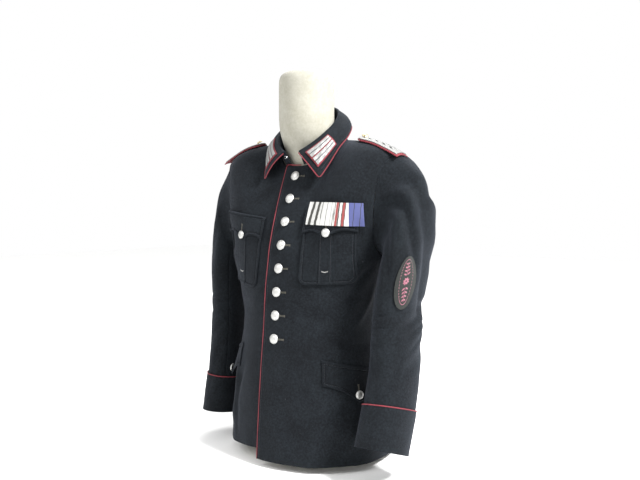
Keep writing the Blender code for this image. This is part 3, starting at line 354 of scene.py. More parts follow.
def unit(vectors):
    return vectors / np.maximum(np.linalg.norm(vectors, axis=-1, keepdims=True), 1e-12)


def bell(distance):
    return np.exp(-(distance**2))


print("chest section", [round(float(v), 3) for v in read(BODY, 0.41)])


# %% The body surface
def ridge_radius(x):
    return mix(RIDGE_SHARP, RIDGE_ROUND, ease((np.abs(x) - NECK_X) / RIDGE_RUN))


def ridge_z(x, back):
    """Height of the peak that the front and back slopes of the yoke rise towards."""
    inward = SHOULDER_X - np.maximum(np.abs(x), RIDGE_INNER_X)
    top = SHOULDER_Z + SHOULDER_SLOPE * inward - SHOULDER_HOLLOW * inward**2 + ridge_radius(x)
    return top + np.where(back, NAPE_RISE, THROAT_RISE) * np.exp(-((x / NECK_SPREAD) ** 4))


def skirt(angle, z):
    section = read(BODY, z)
    a = np.radians(angle)
    grow = 0.0
    for flute in FLUTES:
        fade = ease((flute.z_none - z) / (flute.z_none - flute.z_full))
        grow = grow + flute.depth * fade * bell((angle - flute.angle) / flute.spread)
    exponent = 2 / section.square
    depth = np.where(np.cos(a) >= 0, section.front, section.back)
    x = (section.half_width + grow) * power(np.sin(a), exponent)
    y = MID_Y - (depth + grow) * power(np.cos(a), exponent)
    return stack(x, y, z)


def yoke_slope(x, back):
    outward = ease((np.abs(x) - YOKE_NECK_X) / YOKE_RUN_X)
    fall = np.where(back, mix(*YOKE_FALL_BACK, outward), mix(*YOKE_FALL_FRONT, outward))
    bend = np.where(back, mix(*YOKE_BEND_BACK, outward), mix(*YOKE_BEND_FRONT, outward))
    return fall, bend


def yoke(angle, rise):
    """The body above the underarm. Rise runs from 0 at the underarm to 1 at the shoulder."""
    section = read(BODY, UNDERARM_Z)
    a = np.radians(angle)
    exponent = 2 / section.square
    back = np.cos(a) < 0
    x = (section.half_width + YOKE_SPREAD * rise) * power(np.sin(a), exponent)
    depth = np.where(back, section.back, section.front)
    widest = MID_Y - depth * power(np.cos(a), exponent)
    fall, bend = yoke_slope(x, back)
    share = np.maximum(1 - rise**fall, 0.0) ** (1 / bend)
    y = RIDGE_Y + (widest - RIDGE_Y) * share
    peak = ridge_z(x, back)
    drop = (1 - rise) * (peak - UNDERARM_Z)
    return stack(x, y, peak - np.sqrt(drop**2 + rise * ridge_radius(x) ** 2))


def body(angle, level):
    angle, level = np.broadcast_arrays(np.asarray(angle, float), np.asarray(level, float))
    low = skirt(angle, mix(UNDERARM_Z, HEM_Z, np.maximum(-level, 0)))
    return np.where((level <= 0)[..., None], low, yoke(angle, np.maximum(level, 0)))


def body_normal(angle, level):
    turn, step = 0.5, 0.004
    across = body(angle + turn, level) - body(angle - turn, level)
    up = body(angle, np.minimum(level + step, 0.999)) - body(angle, np.maximum(level - step, -1.0))
    return unit(np.cross(across, up))


def angle_at(x, level):
    """The angle at which the front reaches a distance x from the mid plane."""
    section = read(BODY, mix(UNDERARM_Z, HEM_Z, np.maximum(-np.asarray(level), 0.0)))
    half = section.half_width + YOKE_SPREAD * np.maximum(level, 0.0)
    reach = np.minimum(np.abs(x) / half, 1.0)
    return np.degrees(np.arcsin(reach ** (section.square / 2))) * np.where(np.asarray(x) >= 0, 1, -1)


def level_at(x, z):
    """The level at which the front passes a height z at a distance x from the mid plane."""
    x, z = np.broadcast_arrays(np.asarray(x, float), np.asarray(z, float))
    peak = ridge_z(x, False)
    level = (z - UNDERARM_Z) / (peak - UNDERARM_Z)
    for _ in range(4):
        drop = np.sqrt(np.maximum((peak - z) ** 2 - level * ridge_radius(x) ** 2, 0.0))
        level = 1 - drop / (peak - UNDERARM_Z)
    return np.where(z <= UNDERARM_Z, (z - UNDERARM_Z) / (UNDERARM_Z - HEM_Z), level)


def skirt_level(z):
    return (z - UNDERARM_Z) / (UNDERARM_Z - HEM_Z)


print("front at the third button", body(1.0, level_at(0.002, 0.5266)).round(3))
# %% [markdown]
# ## Creases
# Pressed wool holds a few long soft creases and, where an arm bends, shorter and deeper ones. Each is a soft
# trough or ridge along a line on the cloth, deepest in its middle. They are listed in a table. A very
# low, wide unevenness is added to all cloth, because nothing sewn is perfectly smooth.
# %% Creases of the body
RELIEF_REACH = 0.170
CREASE_STRENGTH = 1.9
Crease = namedtuple("Crease", "angle_from z_from angle_to z_to width depth")
BODY_CREASES = [
    Crease(66, 0.150, 30, 0.030, 0.016, -0.0042),
    Crease(60, 0.120, 44, 0.020, 0.014, 0.0022),
    Crease(40, 0.300, 84, 0.262, 0.012, -0.0020),
    Crease(12, 0.345, 50, 0.330, 0.014, -0.0014),
    Crease(30, 0.392, 74, 0.372, 0.011, -0.0016),
    Crease(74, 0.440, 60, 0.330, 0.013, -0.0022),
    Crease(84, 0.405, 66, 0.300, 0.010, 0.0016),
    Crease(10, 0.180, 22, 0.040, 0.018, -0.0018),
    Crease(-22, 0.340, -56, 0.315, 0.013, -0.0018),
    Crease(-30, 0.210, -34, 0.050, 0.011, -0.0030),
    Crease(-46, 0.230, -50, 0.050, 0.010, 0.0026),
    Crease(-58, 0.190, -60, 0.040, 0.010, -0.0026),
    Crease(-74, 0.440, -62, 0.330, 0.013, -0.0022),
    Crease(-84, 0.400, -70, 0.300, 0.010, 0.0015),
    Crease(102, 0.430, 128, 0.350, 0.013, -0.0030),
    Crease(108, 0.395, 140, 0.325, 0.011, 0.0018),
    Crease(116, 0.320, 160, 0.296, 0.013, -0.0026),
    Crease(110, 0.280, 150, 0.262, 0.012, -0.0018),
    Crease(128, 0.200, 134, 0.030, 0.014, -0.0026),
    Crease(162, 0.230, 166, 0.030, 0.015, -0.0020),
    Crease(-104, 0.425, -132, 0.345, 0.013, -0.0030),
    Crease(-112, 0.380, -150, 0.318, 0.011, 0.0018),
    Crease(-118, 0.312, -164, 0.288, 0.013, -0.0024),
    Crease(-128, 0.180, -132, 0.030, 0.014, -0.0026),
    Crease(-160, 0.240, -164, 0.030, 0.015, -0.0020),
]
# Creases of the yoke, in angle and level
YOKE_CREASES = [
    Crease(56, 0.02, 48, 0.30, 0.012, -0.0020),
    Crease(-56, 0.02, -48, 0.30, 0.012, -0.0020),
    Crease(106, 0.06, 124, 0.34, 0.014, -0.0030),
    Crease(-106, 0.06, -124, 0.34, 0.014, -0.0030),
    Crease(112, 0.20, 134, 0.48, 0.012, 0.0016),
    Crease(-112, 0.20, -134, 0.48, 0.012, 0.0016),
    Crease(150, 0.70, 172, 0.60, 0.014, -0.0016),
    Crease(-150, 0.70, -172, 0.60, 0.014, -0.0016),
]
YOKE_HEIGHT = 0.21
RIPPLE = 0.0007
RIPPLE_SIZE = 0.042
RIPPLE_FINE = 0.5
RIPPLE_FINER = 2.3
CREASE_BOW = 0.12
CREASE_OVERRUN = 0.12
CREASE_FADE = 0.45
CREASE_LEVELS = 0.06


def crease_height(creases, across, along):
    """Height of all creases at places given by two distances in metres."""
    height = 0.0
    for x0, y0, x1, y1, width, depth in creases:
        length = np.hypot(x1 - x0, y1 - y0)
        dx, dy = (x1 - x0) / length, (y1 - y0) / length
        run = ((across - x0) * dx + (along - y0) * dy) / length
        bow = CREASE_BOW * length * np.sin(pi * np.clip(run, 0, 1)) * np.sign(depth)
        off = (across - x0) * -dy + (along - y0) * dx - bow
        fade = ease((run + CREASE_OVERRUN) / CREASE_FADE) * ease((1 + CREASE_OVERRUN - run) / CREASE_FADE)
        height = height + CREASE_STRENGTH * depth * fade * bell(off / width)
    return height


def ripple(points):
    """A low unevenness of the cloth, the same at a place for every piece that passes it."""
    flat = [Vector(point) / RIPPLE_SIZE for point in points.reshape(-1, 3)]
    values = [noise.noise(place) + RIPPLE_FINE * noise.noise(place * RIPPLE_FINER) for place in flat]
    return np.array(values).reshape(points.shape[:-1]) * RIPPLE


def metric(creases, scale_y):
    """Creases with their angles turned into distances round the body."""
    reach = radians(1) * RELIEF_REACH
    return [(c[0] * reach, c[1] * scale_y, c[2] * reach, c[3] * scale_y, c[4], c[5]) for c in creases]


LOW_CREASES = metric(BODY_CREASES, 1.0)
HIGH_CREASES = metric(YOKE_CREASES, YOKE_HEIGHT)


def body_relief(angle, level):
    """Height of the creases over the plain body."""
    angle, level = np.broadcast_arrays(np.asarray(angle, float), np.asarray(level, float))
    across = np.radians(angle) * RELIEF_REACH
    z = mix(UNDERARM_Z, HEM_Z, np.maximum(-level, 0))
    low = crease_height(LOW_CREASES, across, z) * ease(-level / CREASE_LEVELS)
    high = crease_height(HIGH_CREASES, across, np.maximum(level, 0) * YOKE_HEIGHT)
    high = high * ease(level / CREASE_LEVELS)
    return low + high


print("body creases", len(BODY_CREASES) + len(YOKE_CREASES))


# %% Places on the fronts and the skirt
def lap_lift(side, x):
    inner = x * side
    return side * LAP_LIFT * ease((LAP_NONE_X - inner) / (LAP_NONE_X - LAP_FULL_X))


def on_body(side, angle, level, height):
    """Place at a height above the outer face of the cloth, creases included."""
    points = body(angle, level)
    lift = lap_lift(side, points[..., 0]) + WALL / 2 + height + body_relief(angle, level) + ripple(points)
    return points + body_normal(angle, level) * lift[..., None]


def on_front(side, x, z, height):
    level = level_at(x, z)
    return on_body(side, angle_at(x, level), level, height)


def on_skirt(side, angle, z, height):
    return on_body(side, angle, skirt_level(z), height)


# %% [markdown]
# ## From a grid of points to cloth
# A sheet is a grid of its outer face with a UV map in metres, so that a weave keeps its size. Solidify gives
# it the cloth's thickness inwards and a narrow bevel rounds the cut edge, as pressing does.
# %% Grid meshes
EDGE_ROUND = 0.0005
WOOL_SLOT = "wool_cloth"


def lengths(points, axis):
    """Mean distance travelled along one way of the grid, in metres."""
    steps = np.linalg.norm(np.diff(points, axis=axis), axis=-1).mean(axis=1 - axis)
    return np.concatenate([[0], np.cumsum(steps)])


def grid_object(name, points, closed=False, cut=None):
    """A mesh over rows and columns of points. A closed grid meets again after its last column."""
    rows, columns = points.shape[:2]
    spans = columns if closed else columns - 1
    i, j = np.meshgrid(np.arange(rows - 1), np.arange(spans), indexing="ij")
    k = (j + 1) % columns
    faces = np.stack([i * columns + j, i * columns + k, (i + 1) * columns + k, (i + 1) * columns + j], -1)
    mesh = bpy.data.meshes.new(name)
    mesh.from_pydata(points.reshape(-1, 3).tolist(), [], faces.reshape(-1, 4).tolist())
    wrapped = np.concatenate([points, points[:, :1]], 1) if closed else points
    if cut is None:
        cut = stack(*np.meshgrid(lengths(wrapped, 1), lengths(wrapped, 0)), 0.0)
    corners = [cut[i, j], cut[i, j + 1], cut[i + 1, j + 1], cut[i + 1, j]]
    layer = mesh.uv_layers.new(name="cut")
    layer.data.foreach_set("uv", np.stack(corners, 2)[..., :2].astype(np.float32).ravel())
    thing = bpy.data.objects.new(name, mesh)
    bpy.context.scene.collection.objects.link(thing)
    return thing


def only(thing):
    """Makes one object the selected and active one, for the operators that follow."""
    bpy.ops.object.select_all(action="DESELECT")
    thing.select_set(True)
    bpy.context.view_layer.objects.active = thing


def apply(thing, kind, **settings):
    """Adds a modifier and applies it."""
    only(thing)
    modifier = thing.modifiers.new(kind.lower(), kind)
    for name, value in settings.items():
        setattr(modifier, name, value)
    bpy.ops.object.modifier_apply(modifier=modifier.name)


def soften(thing, angle=50):
    only(thing)
    bpy.ops.object.shade_smooth_by_angle(angle=radians(angle))
    bpy.ops.object.select_all(action="DESELECT")


def thicken(thing, wall=WALL, bevel=EDGE_ROUND):
    """Gives an outer face its thickness inwards and rounds the edges."""
    apply(thing, "SOLIDIFY", thickness=wall, offset=-1, use_even_offset=False)
    apply(thing, "BEVEL", width=bevel, segments=2, limit_method="ANGLE", angle_limit=radians(60))
    soften(thing)
    return thing


def finish_piece(thing, material, slot, *nodes):
    """Gives a piece its material and its place in the frame, and hides the imported nodes that it stands for.
    """
    thing.data.materials.clear()
    thing.data.materials.append(material)
    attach(thing, "root")
    if nodes:
        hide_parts(*nodes)
    thing.name
    return thing


def declare_cut(thing, points, held, *rests_on, closed=False):
    """Prints the size that the flat cut of a thickened grid measures."""
    wrapped = np.concatenate([points, points[:, :1]], 1) if closed else points
    width = float(np.linalg.norm(np.diff(wrapped, axis=1), axis=-1).sum(axis=1).max())
    length = float(np.linalg.norm(np.diff(wrapped, axis=0), axis=-1).sum(axis=0).max())
    area = min(sum(face.area for face in thing.data.polygons) / 2, width * length)
    print(thing.name, "cut", round(width, 3), "x", round(length, 3), "m", round(area, 4), "m2")


print("grid tools ready")
# %% [markdown]
# ## Wool
# The cloth is a near-black blue wool with a steep twill, fulled until the weave is soft. The twill and the
# yarns are fine waves on the flat cut, felting is noise, and a few pale specks are lint. Sheen lights the nap
# at grazing angles, which is why a black tunic shows grey on its turning edges.
# %% Wool material
WOOL_BLUE = colour(0.0012, 0.0020, 0.0031)
WOOL_WORN = colour(0.0112, 0.0152, 0.0190)
LINT_PALE = colour(0.30, 0.30, 0.31)
WOOL_SHEEN = (0.55, 0.62, 0.80)
TWILL_PITCH = 0.0011
TWILL_LEAN = 0.45
YARN_PITCH = 0.0006
YARN_LEAN = 0.3
# Noise scales, in marks per metre, of felt, drifting yarns, wear, nap, fibres and lint
FELT, DRIFT, WEAR, NAP, FIBRE, LINT, LINT_AREAS = 900.0, 60.0, 14.0, 230.0, 620.0, 95.0, 21.0
LINT_RADIUS = 0.025
LINT_EDGE = 0.055
WOOL_RELIEF = 0.00032


def wool_material(name):
    material, flow, shader = surface(name, roughness=0.9, sheen=0.07, sheen_tint=WOOL_SHEEN, specular=0.16)
    place = cloth_place(flow)
    u, v, _ = place.parts()
    felt = place.noise(FELT, 3.0, 0.7)
    drift = place.noise(DRIFT, 2.0) * 1.6
    twill = (u + v * TWILL_LEAN).wave(TWILL_PITCH, drift * 2.5)
    yarn = (v - u * YARN_LEAN).wave(YARN_PITCH, drift)
    weave = twill * 0.6 + yarn * 0.2 + felt * 0.8
    whole = place_of(flow)
    worn = whole.noise(WEAR, 4.0, 0.65) * 0.5 + whole.noise(NAP, 4.0, 0.75) * 0.5
    nap = whole.noise(NAP, 4.0, 0.8)
    fibre = whole.noise(FIBRE, 3.0, 0.8)
    share = worn.above(0.53, 0.11) * 0.45 + (nap - 0.5) * 1.3 + (weave - 0.75) * 0.4 + 0.08
    base = share.maths("MAXIMUM", share, 0.0).blend(WOOL_BLUE, WOOL_WORN)
    specks = whole.cells(LINT).between(LINT_EDGE, LINT_RADIUS)
    rare = whole.noise(LINT_AREAS, 2.0).above(0.62, 0.03)
    base = (specks * rare * 0.6).blend(base, LINT_PALE)
    connect(flow, shader, "Base Color", base)
    connect(flow, shader, "Roughness", 0.80 + felt * 0.14)
    emboss(flow, shader, weave * 0.5 + fibre * 1.1, WOOL_RELIEF)
    return material


wool = wool_material("wool")
print("wool", len(wool.node_tree.nodes), "nodes")

# %% [markdown]
# ## Red piping cloth, braid thread and metals
# Piping is a cord wrapped in a strip of red cloth cut on the bias, so its weave runs across it at a slant.
# %% Piping, thread and metal materials
PIPING_RED = colour(0.215, 0.018, 0.030)
PIPING_DEEP = colour(0.110, 0.008, 0.014)
PIPING_THREAD = 0.0007
PIPING_RELIEF = 0.00012


def piping_material():
    material, flow, shader = surface("piping red", roughness=0.8, sheen=0.08, sheen_tint=(1.0, 0.6, 0.6))
    place = cloth_place(flow)
    u, v, _ = place.parts()
    thread = (u * 0.8 + v).wave(PIPING_THREAD)
    fibre = place.noise(1400.0, 2.0)
    worn = place_of(flow).noise(40.0, 3.0).above(0.56, 0.14)
    share = thread * 0.35 + fibre * 0.4 + worn * 0.35
    connect(flow, shader, "Base Color", share.blend(PIPING_DEEP, PIPING_RED))
    emboss(flow, shader, thread * 0.7 + fibre * 0.5, PIPING_RELIEF)
    return material


def thread_material(name, dark, light):
    material, flow, shader = surface(name, roughness=0.6)
    strand = place_of(flow).noise(2600.0, 2.0)
    connect(flow, shader, "Base Color", strand.blend(dark, light))
    emboss(flow, shader, strand, 0.00005)
    return material


def metal_material(name, dark, light, pebble, depth, roughness=0.34):
    """Cast or stamped metal with so many pebbles a metre: its colour is lighter on the pebbles' tops, darker
    between them and patchy with dirt.
    """
    material, flow, shader = surface(name, roughness=roughness, metallic=1.0)
    place = place_of(flow)
    dome = 1.0 - place.cells(pebble) * 1.1
    dirt = place.noise(260.0, 3.0)
    connect(flow, shader, "Base Color", (dome * 0.7 + dirt * 0.45).blend(dark, light))
    connect(flow, shader, "Roughness", roughness - 0.08 + dirt * 0.22)
    emboss(flow, shader, dome, depth)
    return material


red_cloth = piping_material()
silver = metal_material(
    "button silver", colour(0.34, 0.34, 0.33), colour(0.68, 0.68, 0.66), 820.0, 0.00012, 0.5
)
gilt = metal_material("dull gilt", colour(0.30, 0.24, 0.12), colour(0.74, 0.64, 0.42), 900.0, 0.0001)
steel = metal_material("hook steel", colour(0.30, 0.30, 0.30), colour(0.62, 0.62, 0.62), 1500.0, 0.00003)
dark_thread = thread_material("sewing thread", colour(0.012, 0.013, 0.017), colour(0.040, 0.042, 0.050))
hole_thread = thread_material("buttonhole thread", colour(0.045, 0.042, 0.034), colour(0.13, 0.12, 0.09))
pale_thread = thread_material("tack thread", colour(0.30, 0.30, 0.29), colour(0.62, 0.62, 0.60))
print("materials", len(bpy.data.materials))

# %% [markdown]
# ## Fronts and backs
# Four panels are cut and sewn at the sides, the shoulders and the centre back. Each is a grid between two
# boundaries, the centre line and the armhole, so its rows follow the seams as real panels do. At a seam the
# cloth turns under, which shows as a narrow dip, and a row of stitches holds the lapped front edge.
# %% Boundaries of the panels
PANEL_COLUMNS = 110
PANEL_ROWS = 170
SKIRT_PART = 0.62
SEAM_DIP = 0.0011
SEAM_WIDTH = 0.0032
EDGE_STITCH_IN = 0.0045
EDGE_STITCH_WIDTH = 0.0016
EDGE_STITCH_DIP = 0.00055
BACK_SEAM = 0.0001
CALM_WIDTH = 0.030
HEM_TURN_POWER = 6


def neck_x(start, share):
    return mix(start, NECK_X, np.sin(pi / 2 * share))


def panel_rows():
    """Row shares: below 0 on the skirt and from 0 to 1 along the armhole."""
    skirt_rows = int(PANEL_ROWS * SKIRT_PART)
    yoke_rows = PANEL_ROWS - skirt_rows
    low = np.linspace(-1, 0, skirt_rows, endpoint=False)
    return np.concatenate([low, np.linspace(0, 1, yoke_rows + 1)])


def centre_line(side, back, rows):
    """Angle and level along the centre edge and then the neckline."""
    up = np.maximum(rows, 0)
    if back:
        start, row = 0.0, "back_rise"
    else:
        start, row = (-FRONT_EDGE if side > 0 else -UNDER_LAP), "front_rise"
    top = getattr(read(NECKLINE, abs(start)), row)
    x = neck_x(start, np.clip((up - CHEST_SHARE) / (1 - CHEST_SHARE), 0, 1))
    along_neck = getattr(read(NECKLINE, np.abs(x)), row)
    level = np.where(rows <= 0, rows, np.where(up < CHEST_SHARE, top * up / CHEST_SHARE, along_neck))
    level = np.minimum(level, TOP_LEVEL)
    if side < 0 and not back:
        level = level + RIGHT_HEM_RISE / (UNDERARM_Z - HEM_Z) * np.maximum(-rows, 0.0) ** HEM_TURN_POWER
    if not back:
        return angle_at(x * side, level), level
    gap = np.degrees(BACK_SEAM / 2 / BODY_REACH)
    return np.minimum(180 - angle_at(x, level), 180 - gap) * side, level


def arm_line(side, back, rows):
    """Angle and level up the side seam and then the armhole."""
    gap = np.degrees(SEAM / 2 / BODY_REACH)
    arm = read(ARMHOLE, np.maximum(rows, 0))
    angle = np.where(rows <= 0, SIDE_SEAM, arm.back_angle if back else arm.front_angle)
    level = np.where(rows <= 0, rows, np.minimum(arm.rise, TOP_LEVEL))
    return (angle + (gap if back else -gap)) * side, level


def edge_dip(distance, width=SEAM_WIDTH, depth=SEAM_DIP):
    """How far the cloth turns down towards an edge that a seam holds."""
    return -depth * bell(distance / width)


def body_panel(name, side, back):
    rows = panel_rows()
    centre_angle, centre_level = centre_line(side, back, rows)
    arm_angle, arm_level = arm_line(side, back, rows)
    share = np.linspace(0, 1, PANEL_COLUMNS + 1)
    angle = mix(centre_angle[:, None], arm_angle[:, None], share)
    level = mix(centre_level[:, None], arm_level[:, None], share)
    plain = body(angle, level)
    from_arm = np.linalg.norm(plain - plain[:, -1:], axis=-1)
    from_centre = np.linalg.norm(plain - plain[:, :1], axis=-1)
    height = edge_dip(from_arm)
    if back:
        height = height + edge_dip(from_centre)
    else:
        stitched = edge_dip(from_centre - EDGE_STITCH_IN, EDGE_STITCH_WIDTH, EDGE_STITCH_DIP)
        height = height + stitched * (side > 0)
    calm = ease(from_arm / CALM_WIDTH)
    relief = (body_relief(angle, level) + ripple(plain)) * calm
    lift = WALL / 2 + height + relief + (0 if back else lap_lift(side, plain[..., 0]))
    points = plain + body_normal(angle, level) * lift[..., None]
    if side < 0:
        points = points[:, ::-1]
    if back:
        points = points[:, ::-1]
    thing = grid_object(f"{name}_cloth", points)
    thicken(thing)
    finish_piece(thing, wool, WOOL_SLOT, name)
    declare_cut(thing, points, "stretched", "form_torso")
    return thing


SIDES = (("left", 1), ("right", -1))
for side_name, side in SIDES:
    for part, back in (("front", False), ("back", True)):
        body_panel(f"{part}_{side_name}", side, back)

# %% [markdown]
# ## Sleeves
# A tunic sleeve is cut in two, a wide upper sleeve and a narrow under sleeve, and hangs from the armhole with
# a bend at the elbow. Rings along the arm give its shape. The cloth that the bend has no room for folds, so
# long troughs run slanting from the front of the armhole and short ones gather at the elbow.
# %% Rings and folds of the sleeves
SLEEVE_HEAD_GAP = 0.0003
UNDERARM_OUT = 0.0003
UNDERARM_UP = 0.0003
UNDERARM_TURN = 60
UNDERARM_SPREAD = 100
SLEEVE_REACH = 0.055
SLEEVE_LENGTH = 0.66
HEAD_SHARE = 0.16
FRONT_SLEEVE_SEAM = 128.0
BACK_SLEEVE_SEAM = -112.0
Station = namedtuple("Station", "share outer_x outer_z inner_x inner_z mid_y half_depth turn lean")
SLEEVE_LEFT = [
    Station(0.00, 0.236, 0.668, 0.200, 0.452, 0.000, 0.066, 0, 0),
    Station(0.08, 0.272, 0.650, 0.2025, 0.442, -0.010, 0.068, 2, 0),
    Station(0.18, 0.300, 0.604, 0.2035, 0.424, -0.028, 0.075, 5, 2),
    Station(0.30, 0.306, 0.525, 0.2040, 0.394, -0.043, 0.079, 8, 4),
    Station(0.44, 0.300, 0.430, 0.2050, 0.352, -0.054, 0.077, 11, 6),
    Station(0.56, 0.290, 0.340, 0.2040, 0.300, -0.065, 0.067, 13, 8),
    Station(0.70, 0.290, 0.240, 0.2030, 0.224, -0.074, 0.062, 15, 12),
    Station(0.86, 0.289, 0.150, 0.2010, 0.144, -0.094, 0.062, 15, 18),
    Station(1.00, 0.284, 0.064, 0.1980, 0.062, -0.120, 0.061, 15, 20),
]
SLEEVE_RIGHT = [
    Station(0.00, 0.236, 0.668, 0.200, 0.452, 0.000, 0.066, 0, 0),
    Station(0.08, 0.250, 0.646, 0.2025, 0.442, -0.004, 0.068, 2, 0),
    Station(0.18, 0.262, 0.602, 0.2030, 0.424, -0.010, 0.070, 4, 2),
    Station(0.30, 0.276, 0.520, 0.2035, 0.394, -0.014, 0.070, 5, 2),
    Station(0.44, 0.284, 0.430, 0.2040, 0.352, -0.016, 0.067, 6, 3),
    Station(0.56, 0.284, 0.340, 0.2040, 0.300, -0.020, 0.063, 7, 5),
    Station(0.70, 0.284, 0.240, 0.2050, 0.224, -0.027, 0.061, 8, 6),
    Station(0.86, 0.288, 0.150, 0.2060, 0.144, -0.036, 0.061, 8, 6),
    Station(1.00, 0.292, 0.062, 0.2070, 0.060, -0.046, 0.061, 8, 6),
]
SleeveFold = namedtuple("SleeveFold", "share_from angle_from share_to angle_to spread depth")
FOLDS_LEFT = [
    SleeveFold(0.06, 50, 0.52, -32, 15, -0.0085),
    SleeveFold(0.10, 22, 0.44, -52, 13, 0.0045),
    SleeveFold(0.50, -78, 0.60, 20, 20, -0.0060),
    SleeveFold(0.62, -70, 0.76, 40, 24, -0.0035),
]
FOLDS_RIGHT = [
    SleeveFold(0.08, 20, 0.50, -50, 15, -0.0060),
    SleeveFold(0.06, 95, 0.40, 60, 13, -0.0035),
    SleeveFold(0.50, -70, 0.60, 40, 20, -0.0050),
]
# Finer folds, which only the cloth here has
FINE_LEFT = [
    SleeveFold(0.03, -34, 0.22, -34, 38, -0.0170),
    SleeveFold(0.22, -34, 0.34, -34, 26, 0.0030),
    SleeveFold(0.37, -34, 0.55, -34, 34, -0.0120),
    SleeveFold(0.07, 80, 0.44, 10, 8.5, -0.0085),
    SleeveFold(0.09, 58, 0.44, -10, 9, 0.0045),
    SleeveFold(0.565, -66, 0.620, 14, 7, -0.0030),
    SleeveFold(0.595, -58, 0.665, 8, 6, -0.0022),
    SleeveFold(0.545, -60, 0.575, -6, 6, -0.0020),
    SleeveFold(0.590, -48, 0.640, 10, 5, 0.0013),
    SleeveFold(0.50, 126, 0.545, 62, 8, -0.0024),
    SleeveFold(0.54, 130, 0.590, 56, 8, -0.0030),
    SleeveFold(0.58, 124, 0.650, 70, 9, -0.0020),
    SleeveFold(0.09, 104, 0.42, 72, 9, -0.0045),
    SleeveFold(0.66, 96, 0.90, 64, 12, -0.0022),
    SleeveFold(0.68, 26, 0.86, 66, 10, -0.0018),
    SleeveFold(0.10, -60, 0.46, -96, 12, -0.0035),
    SleeveFold(0.16, -120, 0.50, -98, 12, -0.0030),
    SleeveFold(0.46, -150, 0.58, -72, 12, -0.0040),
    SleeveFold(0.60, -140, 0.72, -80, 12, -0.0025),
    SleeveFold(0.74, -60, 0.92, -100, 12, -0.0020),
]
FINE_RIGHT = [
    SleeveFold(0.10, 64, 0.44, 24, 9, -0.0026),
    SleeveFold(0.50, 126, 0.560, 60, 8, -0.0028),
    SleeveFold(0.55, 132, 0.620, 64, 8, -0.0026),
    SleeveFold(0.60, 120, 0.70, 66, 10, -0.0018),
    SleeveFold(0.52, 70, 0.58, 16, 7, -0.0016),
    SleeveFold(0.10, -62, 0.48, -98, 12, -0.0034),
    SleeveFold(0.16, -124, 0.48, -100, 12, -0.0028),
    SleeveFold(0.47, -148, 0.57, -74, 12, -0.0036),
    SleeveFold(0.58, -140, 0.70, -78, 12, -0.0024),
    SleeveFold(0.70, 20, 0.90, 54, 11, -0.0018),
    SleeveFold(0.72, 104, 0.92, 76, 12, -0.0018),
]
FOLD_OVERRUN = 0.15
FOLD_FADE = 0.3
PUCKER = 0.00055
PUCKER_COUNT = 22
PUCKER_AT = 0.05
PUCKER_RUN = 0.035
print("sleeve folds", len(FOLDS_LEFT + FINE_LEFT), "left,", len(FOLDS_RIGHT + FINE_RIGHT), "right")


# %% The sleeve surface
def wrap(turn):
    return (turn + 180) % 360 - 180


def armhole_point(turn):
    """Point and normal of the armhole's edge. Turn 0 is the shoulder and 90 the front."""
    arm = read(ARMHOLE, 1 - np.abs(turn) / 180)
    angle = np.where(turn >= 0, arm.front_angle, arm.back_angle)
    level = np.minimum(arm.rise, TOP_LEVEL)
    return body(angle, level), body_normal(angle, level)


def fold_depth(folds, turn, share):
    """How far the folds move the cloth out at a turn and a share of the length."""
    depth = 0.0
    for fold in folds:
        along = (share - fold.share_from) / (fold.share_to - fold.share_from)
        at = mix(fold.angle_from, fold.angle_to, np.clip(along, 0, 1))
        fade = ease((along + FOLD_OVERRUN) / FOLD_FADE) * ease((1 + FOLD_OVERRUN - along) / FOLD_FADE)
        depth = depth + fold.depth * fade * bell(wrap(turn - at) / fold.spread)
    return depth


def sleeve_point(side, turn, share, height=0.0, fine=True):
    """The middle of a sleeve's cloth moved out by a height. Turn 0 is the outer line and 90 the front."""
    turn, share = np.broadcast_arrays(np.asarray(turn, float), np.asarray(share, float))
    stations = SLEEVE_LEFT if side > 0 else SLEEVE_RIGHT
    station = read(stations, share)
    outer = stack(station.outer_x, station.mid_y, station.outer_z)
    inner = stack(station.inner_x, station.mid_y, station.inner_z)
    centre, across = (outer + inner) / 2, unit(outer - inner)
    half_width = np.linalg.norm(outer - inner, axis=-1) / 2
    lean, t, twist = np.radians(station.lean), np.radians(turn), np.radians(station.turn)
    front = stack(0.0, -np.cos(lean), np.sin(lean))
    grow = fold_depth(FOLDS_LEFT if side > 0 else FOLDS_RIGHT, turn, share) + height
    if fine:
        grow = grow + fold_depth(FINE_LEFT if side > 0 else FINE_RIGHT, turn, share)
    p, q = (half_width + grow) * np.cos(t), (station.half_depth + grow) * np.sin(t)
    right, ahead = p * np.cos(twist) - q * np.sin(twist), p * np.sin(twist) + q * np.cos(twist)
    ring = centre + across * right[..., None] + front * ahead[..., None]
    hold = 1 - ease(share / HEAD_SHARE)
    edge, normal = armhole_point(wrap(turn))
    low = ease((np.abs(wrap(turn)) - UNDERARM_TURN) / UNDERARM_SPREAD)
    leave = stack(mix(SLEEVE_HEAD_GAP, UNDERARM_OUT, low), 0.0, UNDERARM_UP * low)
    pucker = PUCKER * np.cos(np.radians(turn) * PUCKER_COUNT) * bell((share - PUCKER_AT) / PUCKER_RUN) * fine
    joined = edge + leave + normal * (np.asarray(height) + pucker)[..., None]
    points = mix(ring, joined, hold[..., None])
    return points * np.array([side, 1.0, 1.0])


def on_sleeve(side, turn, share, height):
    return sleeve_point(side, turn, share, WALL / 2 + height)


print("left elbow", sleeve_point(1, 0.0, 0.56).round(3))

# %% Upper and under sleeves
SLEEVE_ROWS = 150
ROWS_CROWDING = 1.1
ENDS_HELD = 0.02
UPPER_COLUMNS = 100
UNDER_COLUMNS = 44


